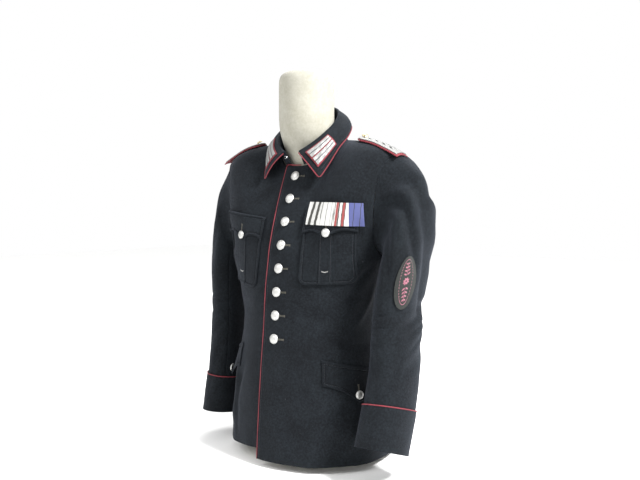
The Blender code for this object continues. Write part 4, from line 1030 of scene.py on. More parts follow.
def sleeve_part(name, side, start, end, columns):
    shares = np.linspace(0, 1, SLEEVE_ROWS + 1) ** ROWS_CROWDING
    turns = np.linspace(start, end, columns + 1)
    turn, share = np.meshgrid(turns, shares)
    middle = sleeve_point(side, turn, share)
    rims = [np.linalg.norm(middle - middle[:, k:][:, :1], axis=-1) for k in (0, columns)]
    held = ease(share / ENDS_HELD) * ease((1 - share) / ENDS_HELD)
    height = WALL / 2 + edge_dip(rims[0]) + edge_dip(rims[1]) + ripple(middle) * held
    points = sleeve_point(side, turn, share, height)
    if side < 0:
        points = points[::-1]
    thing = grid_object(f"{name}_cloth", points)
    thicken(thing)
    finish_piece(thing, wool, WOOL_SLOT, name)
    declare_cut(thing, points, "hung", "front_left_cloth" if side > 0 else "front_right_cloth")


gap = np.degrees(SEAM / 2 / SLEEVE_REACH)
for side_name, side in SIDES:
    upper = (BACK_SLEEVE_SEAM + gap, FRONT_SLEEVE_SEAM - gap, UPPER_COLUMNS)
    under = (FRONT_SLEEVE_SEAM + gap, BACK_SLEEVE_SEAM + 360 - gap, UNDER_COLUMNS)
    sleeve_part(f"sleeve_upper_{side_name}", side, *upper)
    sleeve_part(f"sleeve_under_{side_name}", side, *under)

# %% [markdown]
# ## Cuffs and piping
# The cuff is a band of the same wool laid round the end of the sleeve, with a cord of red piping in its upper
# seam. A cord is a tube along a path: rings are set across the path and joined, and its ends are filled.
# %% Tubes along a path
PIPE_RADIUS = 0.0012
PIPE_SIDES = 10
ANY_WAY = np.array([0.3, 0.2, 1.0])


def smooth_path(path, times, closed=False):
    """Rounds the corners of a path of points."""
    path = np.array(path, float)
    for _ in range(times):
        ends = path[[0, -1]]
        path = (np.roll(path, 1, 0) + 2 * path + np.roll(path, -1, 0)) / 4
        if not closed:
            path[[0, -1]] = ends
    return path


def resample(path, step):
    """The same path with points an even step apart."""
    run = np.concatenate([[0], np.cumsum(np.linalg.norm(np.diff(path, axis=0), axis=1))])
    at = np.linspace(0, run[-1], max(int(run[-1] / step), 2))
    return np.stack([np.interp(at, run, path[:, k]) for k in range(3)], -1)


def tube(name, path, radius, closed=False, sides=PIPE_SIDES):
    """A round cord. The path of a closed one doesn't repeat its first point."""
    path = np.asarray(path, float)
    if closed:
        path = np.concatenate([path, path[:1]])
        along = unit(np.roll(path[:-1], -1, 0) - np.roll(path[:-1], 1, 0))
        along = np.concatenate([along, along[:1]])
    else:
        along = unit(np.gradient(path, axis=0))
    sides_at = []
    aside = unit(np.cross(along[0], ANY_WAY))
    for way in along:
        aside = unit(aside - way * (aside @ way))
        sides_at.append(aside)
    aside = np.array(sides_at)
    if closed:
        aside = unit(np.cross(along, np.array([0.0, 0.0, 1.0])))
    other = np.cross(along, aside)
    turns = np.linspace(0, 2 * pi, sides, endpoint=False)[None, :, None]
    rings = path[:, None] + (aside[:, None] * np.cos(turns) + other[:, None] * np.sin(turns)) * radius
    thing = grid_object(name, rings, closed=True)
    only(thing)
    bpy.ops.object.mode_set(mode="EDIT")
    bpy.ops.mesh.select_all(action="SELECT")
    if closed:
        bpy.ops.mesh.remove_doubles(threshold=1e-6)
    else:
        bpy.ops.mesh.fill_holes(sides=0)
    bpy.ops.mesh.normals_make_consistent(inside=False)
    bpy.ops.object.mode_set(mode="OBJECT")
    soften(thing, 60)
    return thing


print("tube tools ready")

# %% Cuffs
CUFF_HEIGHT = 0.091
CUFF_GAP = 0.0010
CUFF_END = 1.004
CUFF_PIPE_ABOVE = 0.0026
CUFF_PIPE_LIFT = 0.0004
CUFF_COLUMNS = 130
CUFF_ROWS = 34
CUFF_TOP = 1 - CUFF_HEIGHT / SLEEVE_LENGTH
CUFF_TOP_SINK = 0.0004
CUFF_END_FLARE = 0.0005
CUFF_RIPPLE = 0.6

for side_name, side in SIDES:
    turns = np.linspace(0, 360, CUFF_COLUMNS, endpoint=False)
    turn, share = np.meshgrid(turns, np.linspace(CUFF_TOP, CUFF_END, CUFF_ROWS + 1))
    rows = (share - CUFF_TOP) / (CUFF_END - CUFF_TOP)
    sag = CUFF_END_FLARE * bell((rows - 0.97) / 0.05) - CUFF_TOP_SINK * bell((rows - 0.03) / 0.03)
    plain = sleeve_point(side, turn, share, WALL * 1.5 + CUFF_GAP)
    points = sleeve_point(side, turn, share, WALL * 1.5 + CUFF_GAP + sag + ripple(plain) * CUFF_RIPPLE)
    if side < 0:
        points = points[::-1]
    cuff = grid_object(f"cuff_{side_name}_cloth", points, closed=True)
    thicken(cuff)
    finish_piece(cuff, wool, WOOL_SLOT, f"cuff_{side_name}")
    declare_cut(cuff, points, "folded", f"sleeve_upper_{side_name}_cloth", closed=True)
    above = CUFF_TOP - CUFF_PIPE_ABOVE
    ring = sleeve_point(side, turns, above, WALL + CUFF_GAP + CUFF_PIPE_LIFT)
    piping = tube(f"cuff_{side_name}_piping", ring, PIPE_RADIUS, closed=True)
    finish_piece(piping, red_cloth, "red_cloth", f"cuff_piping_{side_name}")

# %% [markdown]
# ## Collar
# A turn-down collar is one strip that stands up from the neck seam, rolls over a fold line and falls as the
# leaf. Each column of the grid takes that way, so the roll is a real turn of cloth. Red piping runs round
# the leaf's edge.
# %% The collar surface
NECK_MID_Y = -0.034
FOLD_RADIUS = 0.0685
FOLD_FRONT_Z = 0.673
FOLD_RISE = 0.118
FOLD_START = 17.0
FOLD_BEND = 0.0024
LEAF_BULGE = 0.005
LEAF_BULGE_UP = 0.6
SEAM_BEYOND = 0.0022
SEAM_RISE = 0.0014
COLLAR_END_X = 0.017
LeafEdge = namedtuple("LeafEdge", "share x y z")
LEAF_EDGE = [
    LeafEdge(0.00, 0.0750, -0.1010, 0.6230),
    LeafEdge(0.16, 0.0870, -0.0800, 0.6560),
    LeafEdge(0.32, 0.0960, -0.0560, 0.6905),
    LeafEdge(0.48, 0.0990, -0.0250, 0.7160),
    LeafEdge(0.64, 0.0870, 0.0100, 0.7400),
    LeafEdge(0.82, 0.0560, 0.0440, 0.7500),
    LeafEdge(1.00, 0.0000, 0.0600, 0.7520),
]


def neckline_at(share):
    """The neckline of the left half: 0 at the collar's front end and 1 at the centre back."""
    share = np.asarray(share, float)
    back = share > 0.5
    x = np.where(back, neck_x(0.0, 2 - share * 2), neck_x(COLLAR_END_X, share * 2))
    row = read(NECKLINE, x)
    level = np.minimum(np.where(back, row.back_rise, row.front_rise), TOP_LEVEL)
    angle = angle_at(x, level)
    angle = np.where(back, 180 - angle, angle)
    return body(angle, level), body_normal(angle, level)


def neck_seam(share):
    """Foot of the collar, just beyond the edge of the neckline."""
    point, normal = neckline_at(share)
    low, high = np.maximum(share - 0.02, 0.0), np.minimum(share + 0.02, 1.0)
    along = unit(neckline_at(high)[0] - neckline_at(low)[0])
    beyond = unit(np.cross(normal, along))
    outward = stack(point[..., 0], point[..., 1] - NECK_MID_Y, 0.0)
    beyond = beyond * -np.sign((beyond * outward).sum(-1, keepdims=True))
    return point + beyond * SEAM_BEYOND + np.array([0, 0, SEAM_RISE])


def fold_point(share):
    turn = np.radians(mix(FOLD_START, 180, share))
    z = FOLD_FRONT_Z + FOLD_RISE * np.sin(turn / 2) ** 1.5
    return stack(FOLD_RADIUS * np.sin(turn), NECK_MID_Y - FOLD_RADIUS * np.cos(turn), z)


def fold_away(share):
    fold = fold_point(share)
    return unit(stack(fold[..., 0], fold[..., 1] - NECK_MID_Y, 0.0))


def leaf_point(share, down):
    """The left collar leaf: down 0 is the fold and 1 the outer edge."""
    share, down = np.broadcast_arrays(np.asarray(share, float), np.asarray(down, float))
    away = fold_away(share)
    edge = read(LEAF_EDGE, share)
    start = fold_point(share) + away * FOLD_BEND
    bulge = (away + np.array([0, 0, LEAF_BULGE_UP])) * (LEAF_BULGE * np.sin(pi * down))[..., None]
    return mix(start, stack(edge.x, edge.y, edge.z), down[..., None]) + bulge


def leaf_normal(share, down):
    along = leaf_point(np.minimum(share + 0.01, 1.0), down) - leaf_point(np.maximum(share - 0.01, 0.0), down)
    across = leaf_point(share, np.minimum(down + 0.02, 1.0)) - leaf_point(share, np.maximum(down - 0.02, 0.0))
    return unit(np.cross(across, along))


def on_leaf(side, share, down, height):
    """A place at a height above the leaf's outer face."""
    lift = np.asarray(WALL / 2 + height)[..., None]
    return (leaf_point(share, down) + leaf_normal(share, down) * lift) * np.array([side, 1.0, 1.0])


print("leaf corner", leaf_point(0.0, 1.0).round(3))

# %% Collar cloth
COLLAR_COLUMNS = 110
STAND_ROWS = 10
ROLL_ROWS = 6
LEAF_ROWS = 26
COLLAR_RIPPLE = 0.8
COLLAR_EDGE_SINK = (0.0, -0.0002, -0.0003, -0.0002)


def collar_half(side, shares):
    """Columns of middle points for one half, from the neck seam to the leaf's edge."""
    point, normal = neckline_at(shares)
    seam = neck_seam(shares) + normal * lap_lift(side, point[..., 0] * side)[..., None]
    fold, away = fold_point(shares), fold_away(shares)
    rows = [mix(seam, fold - away * FOLD_BEND, k / STAND_ROWS) for k in range(STAND_ROWS + 1)]
    for k in range(1, ROLL_ROWS):
        turn = pi * k / ROLL_ROWS
        up = np.array([0.0, 0.0, 1.0])
        rows.append(fold + (-away * cos(turn) + up * sin(turn)) * FOLD_BEND)
    rows += [leaf_point(shares, k / LEAF_ROWS) for k in range(LEAF_ROWS + 1)]
    return np.array(rows) * np.array([side, 1.0, 1.0])


def grid_normals(points):
    """Normals of a grid, pointing to the side from which its columns run to the right and rows up."""
    return unit(np.cross(np.gradient(points, axis=1), np.gradient(points, axis=0)))


shares = np.linspace(0, 1, COLLAR_COLUMNS + 1)
middle = np.concatenate([collar_half(-1, shares), collar_half(1, shares)[:, ::-1][:, 1:]], 1)
edge_sink = np.zeros(len(middle))
edge_sink[-len(COLLAR_EDGE_SINK):] = COLLAR_EDGE_SINK
height = WALL / 2 + ripple(middle) * COLLAR_RIPPLE + edge_sink[:, None]
points = middle + grid_normals(middle) * height[..., None]
collar = grid_object("collar_cloth", points)
thicken(collar)
finish_piece(collar, wool, WOOL_SLOT, "collar")
declare_cut(collar, points, "folded", "front_left_cloth", "front_right_cloth")

# %% Piping of the collar and of the front edge
PIPE_STEP = 0.0045
TIP_SMOOTHING = 3
PIPING_END_DROP = 0.004
PIPING_TOP_X = (-0.025, -0.014, 0.0, 0.010)
PIPING_TOP_LIFT = 0.0004
PIPING_TOP_RISE = 0.0010

step = PIPE_RADIUS + SEAM * 1.6
downs = np.linspace(0.02, 0.93, 22)
along = unit(leaf_point(0.0, downs + 0.02) - leaf_point(0.0, downs - 0.02))
away = np.cross(along, leaf_normal(0.0, downs))
away = away * -np.sign(away[:, :1])
front = leaf_point(0.0, downs) + away * step
tip = leaf_point(0.0, 1.0) + unit(leaf_point(0.0, 1.0) - leaf_point(0.1, 0.75)) * step * 1.5
shares = np.linspace(0.03, 1, 100)
away = unit(leaf_point(shares, 1.0) - leaf_point(shares, 0.75))
half = np.concatenate([front, [tip], leaf_point(shares, 1.0) + away * step])
whole = np.concatenate([half, half[::-1][1:] * np.array([-1.0, 1.0, 1.0])])
piping = tube("collar_edge_piping", smooth_path(resample(whole, PIPE_STEP), TIP_SMOOTHING), PIPE_RADIUS)
finish_piece(piping, red_cloth, "red_cloth", "collar_piping")

step = PIPE_RADIUS + SEAM
levels = np.linspace(-1, float(read(NECKLINE, FRONT_EDGE).front_rise) - PIPING_END_DROP, 180)
angles = angle_at(-FRONT_EDGE, levels)
edge = body(angles, levels) + body_normal(angles, levels) * LAP_LIFT + np.array([-step, 0, 0])
top = []
for x in (-FRONT_EDGE - step * 0.6, *PIPING_TOP_X):
    level = float(read(NECKLINE, min(abs(x), FRONT_EDGE)).front_rise)
    angle = angle_at(x, level)
    rise = np.array([0, 0, step + PIPING_TOP_RISE])
    top.append(body(angle, level) + body_normal(angle, level) * (LAP_LIFT + PIPING_TOP_LIFT) + rise)
path = resample(np.concatenate([edge, top]), 0.003)
piping = tube("front_edge_piping", smooth_path(path, 2), PIPE_RADIUS)
finish_piece(piping, red_cloth, "red_cloth", "front_piping")
print("collar and piping done")

# %% [markdown]
# ## Patches that lie on the cloth
# A pocket or a flap is two layers turned in at the edge and stitched round, so its rim swells up a little and
# a groove follows 6 mm inside it. A patch here is a grid between a lower and an upper edge, laid at a height
# over the piece that carries it, with that rim worked out from the distance to its edge.
# %% Patch tools
POCKET_WALL = 0.0015
RIM = 0.0060
RIM_SWELL = 0.0017
GROOVE_WIDTH = 0.0010
GROOVE_DEPTH = 0.0013
SWELL_POWER = 0.7
BATCH = 800


def rim_distance(points):
    """Distance of each grid point to the nearest point of the grid's outline."""
    loop = np.concatenate([points[0], points[-1], points[:, 0], points[:, -1]])
    flat = points.reshape(-1, 3)
    parts = [flat[k:k + BATCH, None] - loop[None] for k in range(0, len(flat), BATCH)]
    nearest = [np.sqrt((part**2).sum(-1)).min(1) for part in parts]
    return np.concatenate(nearest).reshape(points.shape[:2])


def swell(distance):
    """The swollen rim and the groove of its stitching."""
    raised = RIM_SWELL * np.sin(pi * np.clip(distance / RIM, 0, 1)) ** SWELL_POWER
    return raised - GROOVE_DEPTH * bell((distance - RIM) / GROOVE_WIDTH)


def patch_grid(columns, rows, place, height, relief=None):
    """Places over a patch. Columns hold the lower and upper ends, as two (u, v) pairs each."""
    ends = np.array(columns, float)
    share = np.linspace(0, 1, rows + 1)[:, None, None]
    uv = ends[None, :, 0] + (ends[None, :, 1] - ends[None, :, 0]) * share
    u, v = uv[..., 0], uv[..., 1]
    plain = place(u, v, height(u, v))
    if relief is None:
        return plain
    return place(u, v, height(u, v) + relief(u, v, rim_distance(plain)))


def laid(name, points, side, wall, bevel=EDGE_ROUND):
    """A patch of an even wall whose outer face is the grid."""
    thing = grid_object(name, points if side > 0 else points[:, ::-1])
    return thicken(thing, wall, bevel)


print("patch tools ready")

# %% [markdown]
# ## Pockets and flaps
# The breast pockets have a box pleat and rounded lower corners, and a flap with three points buttons over
# them. The hip pockets are inside, and only their slanting flaps show. Their upper edge is a narrow welt.
# %% Breast pockets
POCKET_INNER_X = 0.055
POCKET_OUTER_X = 0.171
POCKET_TAPER = 0.008
POCKET_BOTTOM_Z = 0.396
POCKET_TOP_Z = 0.537
POCKET_LEAN = {1: 0.006, -1: 0.018}
POCKET_SHIFT = {1: (0.0, 0.0), -1: (0.003, -0.008)}
POCKET_CORNER = 0.018
PLEAT_HALF = 0.0125
PLEAT_RAISE = 0.0014
PLEAT_FOLD = 0.0015
PLEAT_RIM = 0.35
POCKET_MID_X = (POCKET_INNER_X + POCKET_OUTER_X) / 2
POCKET_HALF = (POCKET_OUTER_X - POCKET_INNER_X) / 2
POCKET_ROWS = 90


def on_pocket(side, step, z, height):
    """A place over a pocket, at a step sideways from its middle and a height above the front."""
    shift_x, shift_z = POCKET_SHIFT[side]
    down = (POCKET_TOP_Z - z) / (POCKET_TOP_Z - POCKET_BOTTOM_Z)
    taper = POCKET_TAPER * np.maximum(down, 0.0) * (step + POCKET_HALF) / (2 * POCKET_HALF)
    x = POCKET_MID_X + shift_x + step - taper
    return on_front(side, x * side, z + shift_z + POCKET_LEAN[side] * step / (2 * POCKET_HALF), height)


def pleat_raise(step):
    return PLEAT_RAISE * ease((PLEAT_HALF + PLEAT_FOLD - np.abs(step)) / PLEAT_FOLD)


def pocket_steps():
    """Steps across a pocket, closer together in its corners and at the pleat's folds."""
    corner = POCKET_HALF - POCKET_CORNER * (1 - np.cos(np.linspace(0, pi / 2, 22)))
    fold = PLEAT_HALF + PLEAT_FOLD
    flat = np.linspace(POCKET_HALF - POCKET_CORNER, fold, 28)[1:]
    turn = np.linspace(fold, PLEAT_HALF, 6)[1:]
    pleat = np.linspace(PLEAT_HALF, 0, 14)[1:]
    half = np.concatenate([corner, flat, turn, pleat])
    return np.concatenate([-half, half[::-1][1:]])


for side_name, side in SIDES:
    steps = pocket_steps()
    into = np.maximum(POCKET_CORNER - (POCKET_HALF - np.abs(steps)), 0)
    rise = POCKET_CORNER - np.sqrt(np.maximum(POCKET_CORNER**2 - into**2, 0))
    columns = [((s, POCKET_BOTTOM_Z + r), (s, POCKET_TOP_Z)) for s, r in zip(steps, rise)]
    points = patch_grid(
        columns, POCKET_ROWS, lambda u, v, h, s=side: on_pocket(s, u, v, h),
        lambda u, v: LAY + POCKET_WALL + pleat_raise(u),
        lambda u, v, d: swell(d) * np.where(np.abs(u) > PLEAT_HALF, 1.0, PLEAT_RIM),
    )
    pocket = laid(f"breast_pocket_{side_name}_cloth", points, side, POCKET_WALL)
    finish_piece(pocket, wool, WOOL_SLOT, f"breast_pocket_{side_name}")
    declare_cut(pocket, points, "laid", f"front_{side_name}_cloth")

# %% Breast flaps
FLAP_TOP_Z = 0.552
FLAP_TIP_Z = 0.494
FLAP_CORNER_Z = 0.503
FLAP_SCALLOP = 0.009
FLAP_AIR = 0.0006
FLAP_BASE = LAY + POCKET_WALL + PLEAT_RAISE + FLAP_AIR
FLAP_BUTTON_RISE = 0.0105
FLAP_OVERHANG = 0.0025
FLAP_HINGE_ABOVE = 0.003
FLAP_HINGE_HEIGHT = 0.010
FLAP_COLUMNS = 110
FLAP_ROWS = 46


def flap_bottom(share):
    wave = np.abs(np.sin(pi * share))
    return FLAP_TIP_Z + (FLAP_CORNER_Z - FLAP_TIP_Z) * np.abs(share) + FLAP_SCALLOP * wave


def flap_low(step, z):
    """How high the flap lies over the front: least at its top, where it is sewn on."""
    return mix(LAY, FLAP_BASE, ease((FLAP_TOP_Z + FLAP_HINGE_ABOVE - z) / FLAP_HINGE_HEIGHT))


FLAP_HALF = POCKET_HALF + FLAP_OVERHANG
for side_name, side in SIDES:
    shares = np.linspace(-1, 1, FLAP_COLUMNS + 1)
    columns = [((FLAP_HALF * s, flap_bottom(s)), (FLAP_HALF * s, FLAP_TOP_Z)) for s in shares]
    points = patch_grid(
        columns, FLAP_ROWS, lambda u, v, h, s=side: on_pocket(s, u, v, h),
        lambda u, v: flap_low(u, v) + POCKET_WALL, lambda u, v, d: swell(d),
    )
    flap = laid(f"breast_flap_{side_name}_cloth", points, side, POCKET_WALL)
    finish_piece(flap, wool, WOOL_SLOT, f"breast_flap_{side_name}")
    declare_cut(flap, points, "laid", f"breast_pocket_{side_name}_cloth")

# %% Hip flaps
HIP_INNER_ANGLE = 37.0
HIP_OUTER_ANGLE = 92.0
HIP_INNER_Z = 0.238
HIP_OUTER_Z = 0.205
HIP_DROP = 0.054
HIP_POINT_DROP = 0.020
HIP_SCALLOP = 0.007
HIP_BUTTON_RISE = 0.015
HIP_REST = 0.0007
HIP_LIFT = {1: 0.0, -1: 0.015}
HIP_FLARE = {1: 0.002, -1: 0.011}
HIP_BUTTON_STAND = {1: 0.0008, -1: 0.0022}
HIP_COLUMNS = 130
HIP_ROWS = 56
WELT_HEIGHT = 0.007
WELT_SWELL = 0.0011
WELT_BLEND = 0.004
HIP_FLARE_RUN = 1.4


def hip_top(side, angle):
    share = (np.abs(angle) - HIP_INNER_ANGLE) / (HIP_OUTER_ANGLE - HIP_INNER_ANGLE)
    return share, mix(HIP_INNER_Z, HIP_OUTER_Z, share) + HIP_LIFT[side]


def hip_low(side, angle, z):
    share, top = hip_top(side, angle)
    fallen = np.maximum(top - z, 0.0) / HIP_DROP
    return HIP_REST + HIP_FLARE[side] * ease(share * HIP_FLARE_RUN) * fallen**1.5


def hip_relief(side, angle, z, distance):
    """The rim's swelling, and along the top the welt that the flap hangs from."""
    below = hip_top(side, angle)[1] - z
    welt = WELT_SWELL * np.sin(pi * np.clip(below / WELT_HEIGHT, 0, 1)) ** SWELL_POWER
    welt = welt - GROOVE_DEPTH * bell((below - WELT_HEIGHT) / GROOVE_WIDTH)
    share = ease((below - WELT_HEIGHT) / WELT_BLEND)
    return mix(welt, swell(distance), share)


for side_name, side in SIDES:
    columns = []
    for step in np.linspace(-1, 1, HIP_COLUMNS + 1):
        angle = mix(HIP_INNER_ANGLE, HIP_OUTER_ANGLE, (step + 1) / 2) * side
        top = float(hip_top(side, angle)[1])
        drop = HIP_DROP + HIP_POINT_DROP * (1 - abs(step)) - HIP_SCALLOP * abs(sin(pi * step))
        columns.append(((angle, top - drop), (angle, top)))
    points = patch_grid(
        columns, HIP_ROWS, lambda u, v, h, s=side: on_skirt(s, u, v, h),
        lambda u, v, s=side: hip_low(s, u, v) + POCKET_WALL,
        lambda u, v, d, s=side: hip_relief(s, u, v, d),
    )
    flap = laid(f"hip_flap_{side_name}_cloth", points, side, POCKET_WALL)
    finish_piece(flap, wool, WOOL_SLOT, f"hip_flap_{side_name}")
    declare_cut(flap, points, "hung", f"front_{side_name}_cloth")
print("pockets and flaps done")

# %% [markdown]
# ## Shoulder boards
# An officer's board is flat silver braid laid in loops, one inside the other, round a hole for the gilt
# button, on a red underlay that shows as a rim. The loops are a ridge worked out from the distance to the
# board's edge, so they follow its round end. The braid's ribs and dark flecks are in its material.
# %% Braid materials
BRAID_WHITE = colour(0.36, 0.36, 0.35)
BRAID_GREY = colour(0.12, 0.12, 0.12)
FLECK_DARK = colour(0.010, 0.010, 0.009)
BRAID_LOOP = 0.0072
BRAID_RIB = 0.0013
BRAID_RIB_BEND = 0.0012
BRAID_GLINT = 1800.0
BRAID_RELIEF = 0.00022
FLECK_PITCH = 0.0170
FLECK_LEAN = 0.8
# Distances from the braid's edge over which the flecks begin and end
FLECKS_BEGIN = (0.0085, 0.0092)
FLECKS_END = (0.0185, 0.0175)


def braid_material():
    """Silver braid: ribs across its loops, and dark flecks in its middle loops at an even pitch."""
    material, flow, shader = surface("board braid", roughness=0.42)
    u, v, _ = cloth_place(flow).parts()
    ribs = (u + v.wave(BRAID_LOOP) * BRAID_RIB_BEND).wave(BRAID_RIB)
    glint = place_of(flow).noise(BRAID_GLINT, 2.0)
    base = (ribs * 0.55 + glint * 0.55).blend(BRAID_GREY, BRAID_WHITE)
    chevron = (u + v * FLECK_LEAN).wave(FLECK_PITCH).above(0.66, 0.06)
    flecks = chevron * v.between(*FLECKS_BEGIN) * v.between(*FLECKS_END)
    base = (flecks * 0.95).blend(base, FLECK_DARK)
    connect(flow, shader, "Base Color", base)
    connect(flow, shader, "Roughness", 0.34 + glint * 0.3)
    connect(flow, shader, "Metallic", 0.35 + ribs * 0.3)
    emboss(flow, shader, ribs * 0.7 + glint * 0.4, BRAID_RELIEF)
    return material


board_braid = braid_material()
print("braid", len(board_braid.node_tree.nodes), "nodes")

# %% Board surfaces
BOARD_INNER_X = 0.134
BOARD_OUTER_X = 0.236
BOARD_WIDTH = 0.044
BOARD_Y = -0.030
BOARD_BOW = 0.070
BOARD_REST = 0.0019
BOARD_MARGIN = 0.0022
BOARD_UNDERLAY = 0.0022
BOARD_BRAID = 0.0030
PIP_INSET = 0.013
PIP_STAND = 0.0022
PIP_LEAN_X = 0.41
PIP_LEAN_Y = -0.38
PIP_RADIUS = 0.0075
BOARD_ROWS = 44
BOARD_ROUND_COLUMNS = 34
BOARD_STRAIGHT_COLUMNS = 69
BOARD_NARROWEST = 0.12
LOOP_RELIEF = 0.0007
LOOP_POWER = 0.6
UNDERLAY_ROUND = 0.0007
BRAID_ROUND = 0.0008


def shoulder_z(x, y):
    """Height of the middle of the cloth on top of the shoulder, carried straight on past its end."""
    x, y = np.broadcast_arrays(np.asarray(x, float), np.asarray(y, float))
    on = np.minimum(x, SHOULDER_TURN_X)
    section = read(BODY, UNDERARM_Z)
    back = y > RIDGE_Y
    fall, bend = yoke_slope(on, back)
    reach = np.where(back, section.back, section.front)
    rise = np.ones_like(on)
    for _ in range(4):
        side_share = np.minimum(on / (section.half_width + YOKE_SPREAD * rise), 1.0) ** section.square
        depth = reach * (1 - side_share) ** (1 / section.square)
        widest = np.where(back, MID_Y + depth, MID_Y - depth)
        share = np.minimum((y - RIDGE_Y) / (widest - RIDGE_Y), 1.0)
        rise = (1 - share**bend) ** (1 / fall)
    peak = ridge_z(on, back)
    drop = (1 - rise) * (peak - UNDERARM_Z)
    past = (ridge_z(x, False) - ridge_radius(x)) - (ridge_z(on, False) - ridge_radius(on))
    return peak - np.sqrt(drop**2 + rise * ridge_radius(on) ** 2) + past


def shoulder_surface(side, x, y, height):
    """A stiff board with a shallow bow, resting on the highest cloth under it."""
    x, y = np.broadcast_arrays(np.asarray(x, float), np.asarray(y, float))
    reach = BOARD_WIDTH / 2
    front, rear = shoulder_z(x, BOARD_Y - reach * 0.8), shoulder_z(x, BOARD_Y + reach * 0.8)
    tilt = (rear - front) / (reach * 1.6)

    def bowed(at):
        return (front + rear) / 2 + tilt * (at - BOARD_Y) - (at - BOARD_Y) ** 2 / (2 * BOARD_BOW)

    under = np.linspace(BOARD_Y - reach * 1.1, BOARD_Y + reach * 1.1, 9)
    lift = np.max([shoulder_z(x, at) - bowed(at) for at in under], axis=0)
    return stack(x * side, y, bowed(y) + lift + WALL / 2 + height)


def board_columns(grow):
    """Columns along the board, round at the neck end."""
    half = BOARD_WIDTH / 2 + grow
    inner = BOARD_INNER_X - grow
    turns = np.linspace(0, pi / 2, BOARD_ROUND_COLUMNS)
    straight = np.linspace(inner + half, BOARD_OUTER_X + grow, BOARD_STRAIGHT_COLUMNS + 1)[1:]
    x = np.concatenate([inner + half * (1 - np.cos(turns)), straight])
    turns = np.concatenate([turns, np.full(BOARD_STRAIGHT_COLUMNS, pi / 2)])
    reach = half * np.maximum(np.sin(turns), BOARD_NARROWEST)
    return [((a, BOARD_Y - r), (a, BOARD_Y + r)) for a, r in zip(x, reach)]


for side_name, side in SIDES:
    place = lambda u, v, h, s=side: shoulder_surface(s, u, v, h)
    under = BOARD_REST + BOARD_UNDERLAY
    points = patch_grid(board_columns(BOARD_MARGIN), BOARD_ROWS, place, lambda u, v: under + 0 * u)
    underlay = laid(f"board_underlay_{side_name}_cloth", points, side, BOARD_UNDERLAY, UNDERLAY_ROUND)
    finish_piece(underlay, red_cloth, "red_cloth", f"board_underlay_{side_name}")
    top = under + SEAM + BOARD_BRAID
    plain = patch_grid(board_columns(0.0), BOARD_ROWS, place, lambda u, v: top + 0 * u)
    distance = rim_distance(plain)
    loops = -LOOP_RELIEF * (1 - np.abs(np.sin(pi * distance / BRAID_LOOP)) ** LOOP_POWER)
    points = plain + np.array([0, 0, 1.0]) * loops[..., None]
    across = stack(np.abs(plain[..., 0]), distance, 0.0)
    cut = across if side > 0 else across[:, ::-1]
    braid = grid_object(f"board_braid_{side_name}_loops", points if side > 0 else points[:, ::-1], cut=cut)
    thicken(braid, BOARD_BRAID - LOOP_RELIEF, BRAID_ROUND)
    finish_piece(braid, board_braid, "silver_braid", f"board_braid_{side_name}")
print("boards done")

# %% [markdown]
# ## Collar tabs
# Each tab is a lozenge of red cloth with two bars of silver braid side by side.
# %% Tabs and bars
TAB_START = 0.045
TAB_END = 0.300
TAB_TOP = 0.16
TAB_BOTTOM = 0.80
TAB_REST = 0.0009
TAB_WALL = 0.0010
BAR_SHARE = 0.40
BAR_INSET = 0.045
BAR_END_INSET = 0.012
BAR_WALL = 0.0014
BAR_AIR = 0.0004
BAR_CORD = 0.00045
LINE_GREY = colour(0.045, 0.045, 0.05)
BAR_RIB = 0.0009
BAR_GLINT = 1900.0
BAR_RELIEF = 0.00018
STRIP_COLUMNS = 60
STRIP_ROWS = 26
STRIP_ROUND = 0.0003
CORD_POWER = 0.7


def bar_material():
    """Two cords of silver thread side by side with a fine grey line between them."""
    material, flow, shader = surface("collar bar braid", roughness=0.45)
    u, v, _ = cloth_place(flow).parts()
    rib = (u + v * 0.6).wave(BAR_RIB)
    glint = place_of(flow).noise(BAR_GLINT, 2.0)
    base = (rib * 0.4 + glint * 0.7).blend(BRAID_GREY, BRAID_WHITE)
    beside_line = abs(v - 0.5).above(0.060, 0.014)
    base = beside_line.blend(LINE_GREY, base)
    connect(flow, shader, "Base Color", base)
    connect(flow, shader, "Metallic", 0.3 + rib * 0.2)
    emboss(flow, shader, rib * 0.6 + glint * 0.5, BAR_RELIEF)
    return material


def strip(name, side, downs, shares, height, wall, cords=0.0):
    """A strip on the leaf, between two depths and two shares of its length. Cords run along it."""
    columns = [((share, downs[1]), (share, downs[0])) for share in np.linspace(*shares, STRIP_COLUMNS)]
    across = np.linspace(0, 1, STRIP_ROWS + 1)
    lift = cords * (np.abs(np.sin(2 * pi * across)) ** CORD_POWER - 1)[:, None]
    plain = patch_grid(
        columns, STRIP_ROWS, lambda u, v, h: on_leaf(side, u, v, h), lambda u, v: height + lift + 0 * u
    )
    cut = stack(*np.meshgrid(lengths(plain, 1), across), 0.0) if cords else None
    thing = grid_object(name, plain if side > 0 else plain[:, ::-1], cut=cut)
    return thicken(thing, wall, STRIP_ROUND)


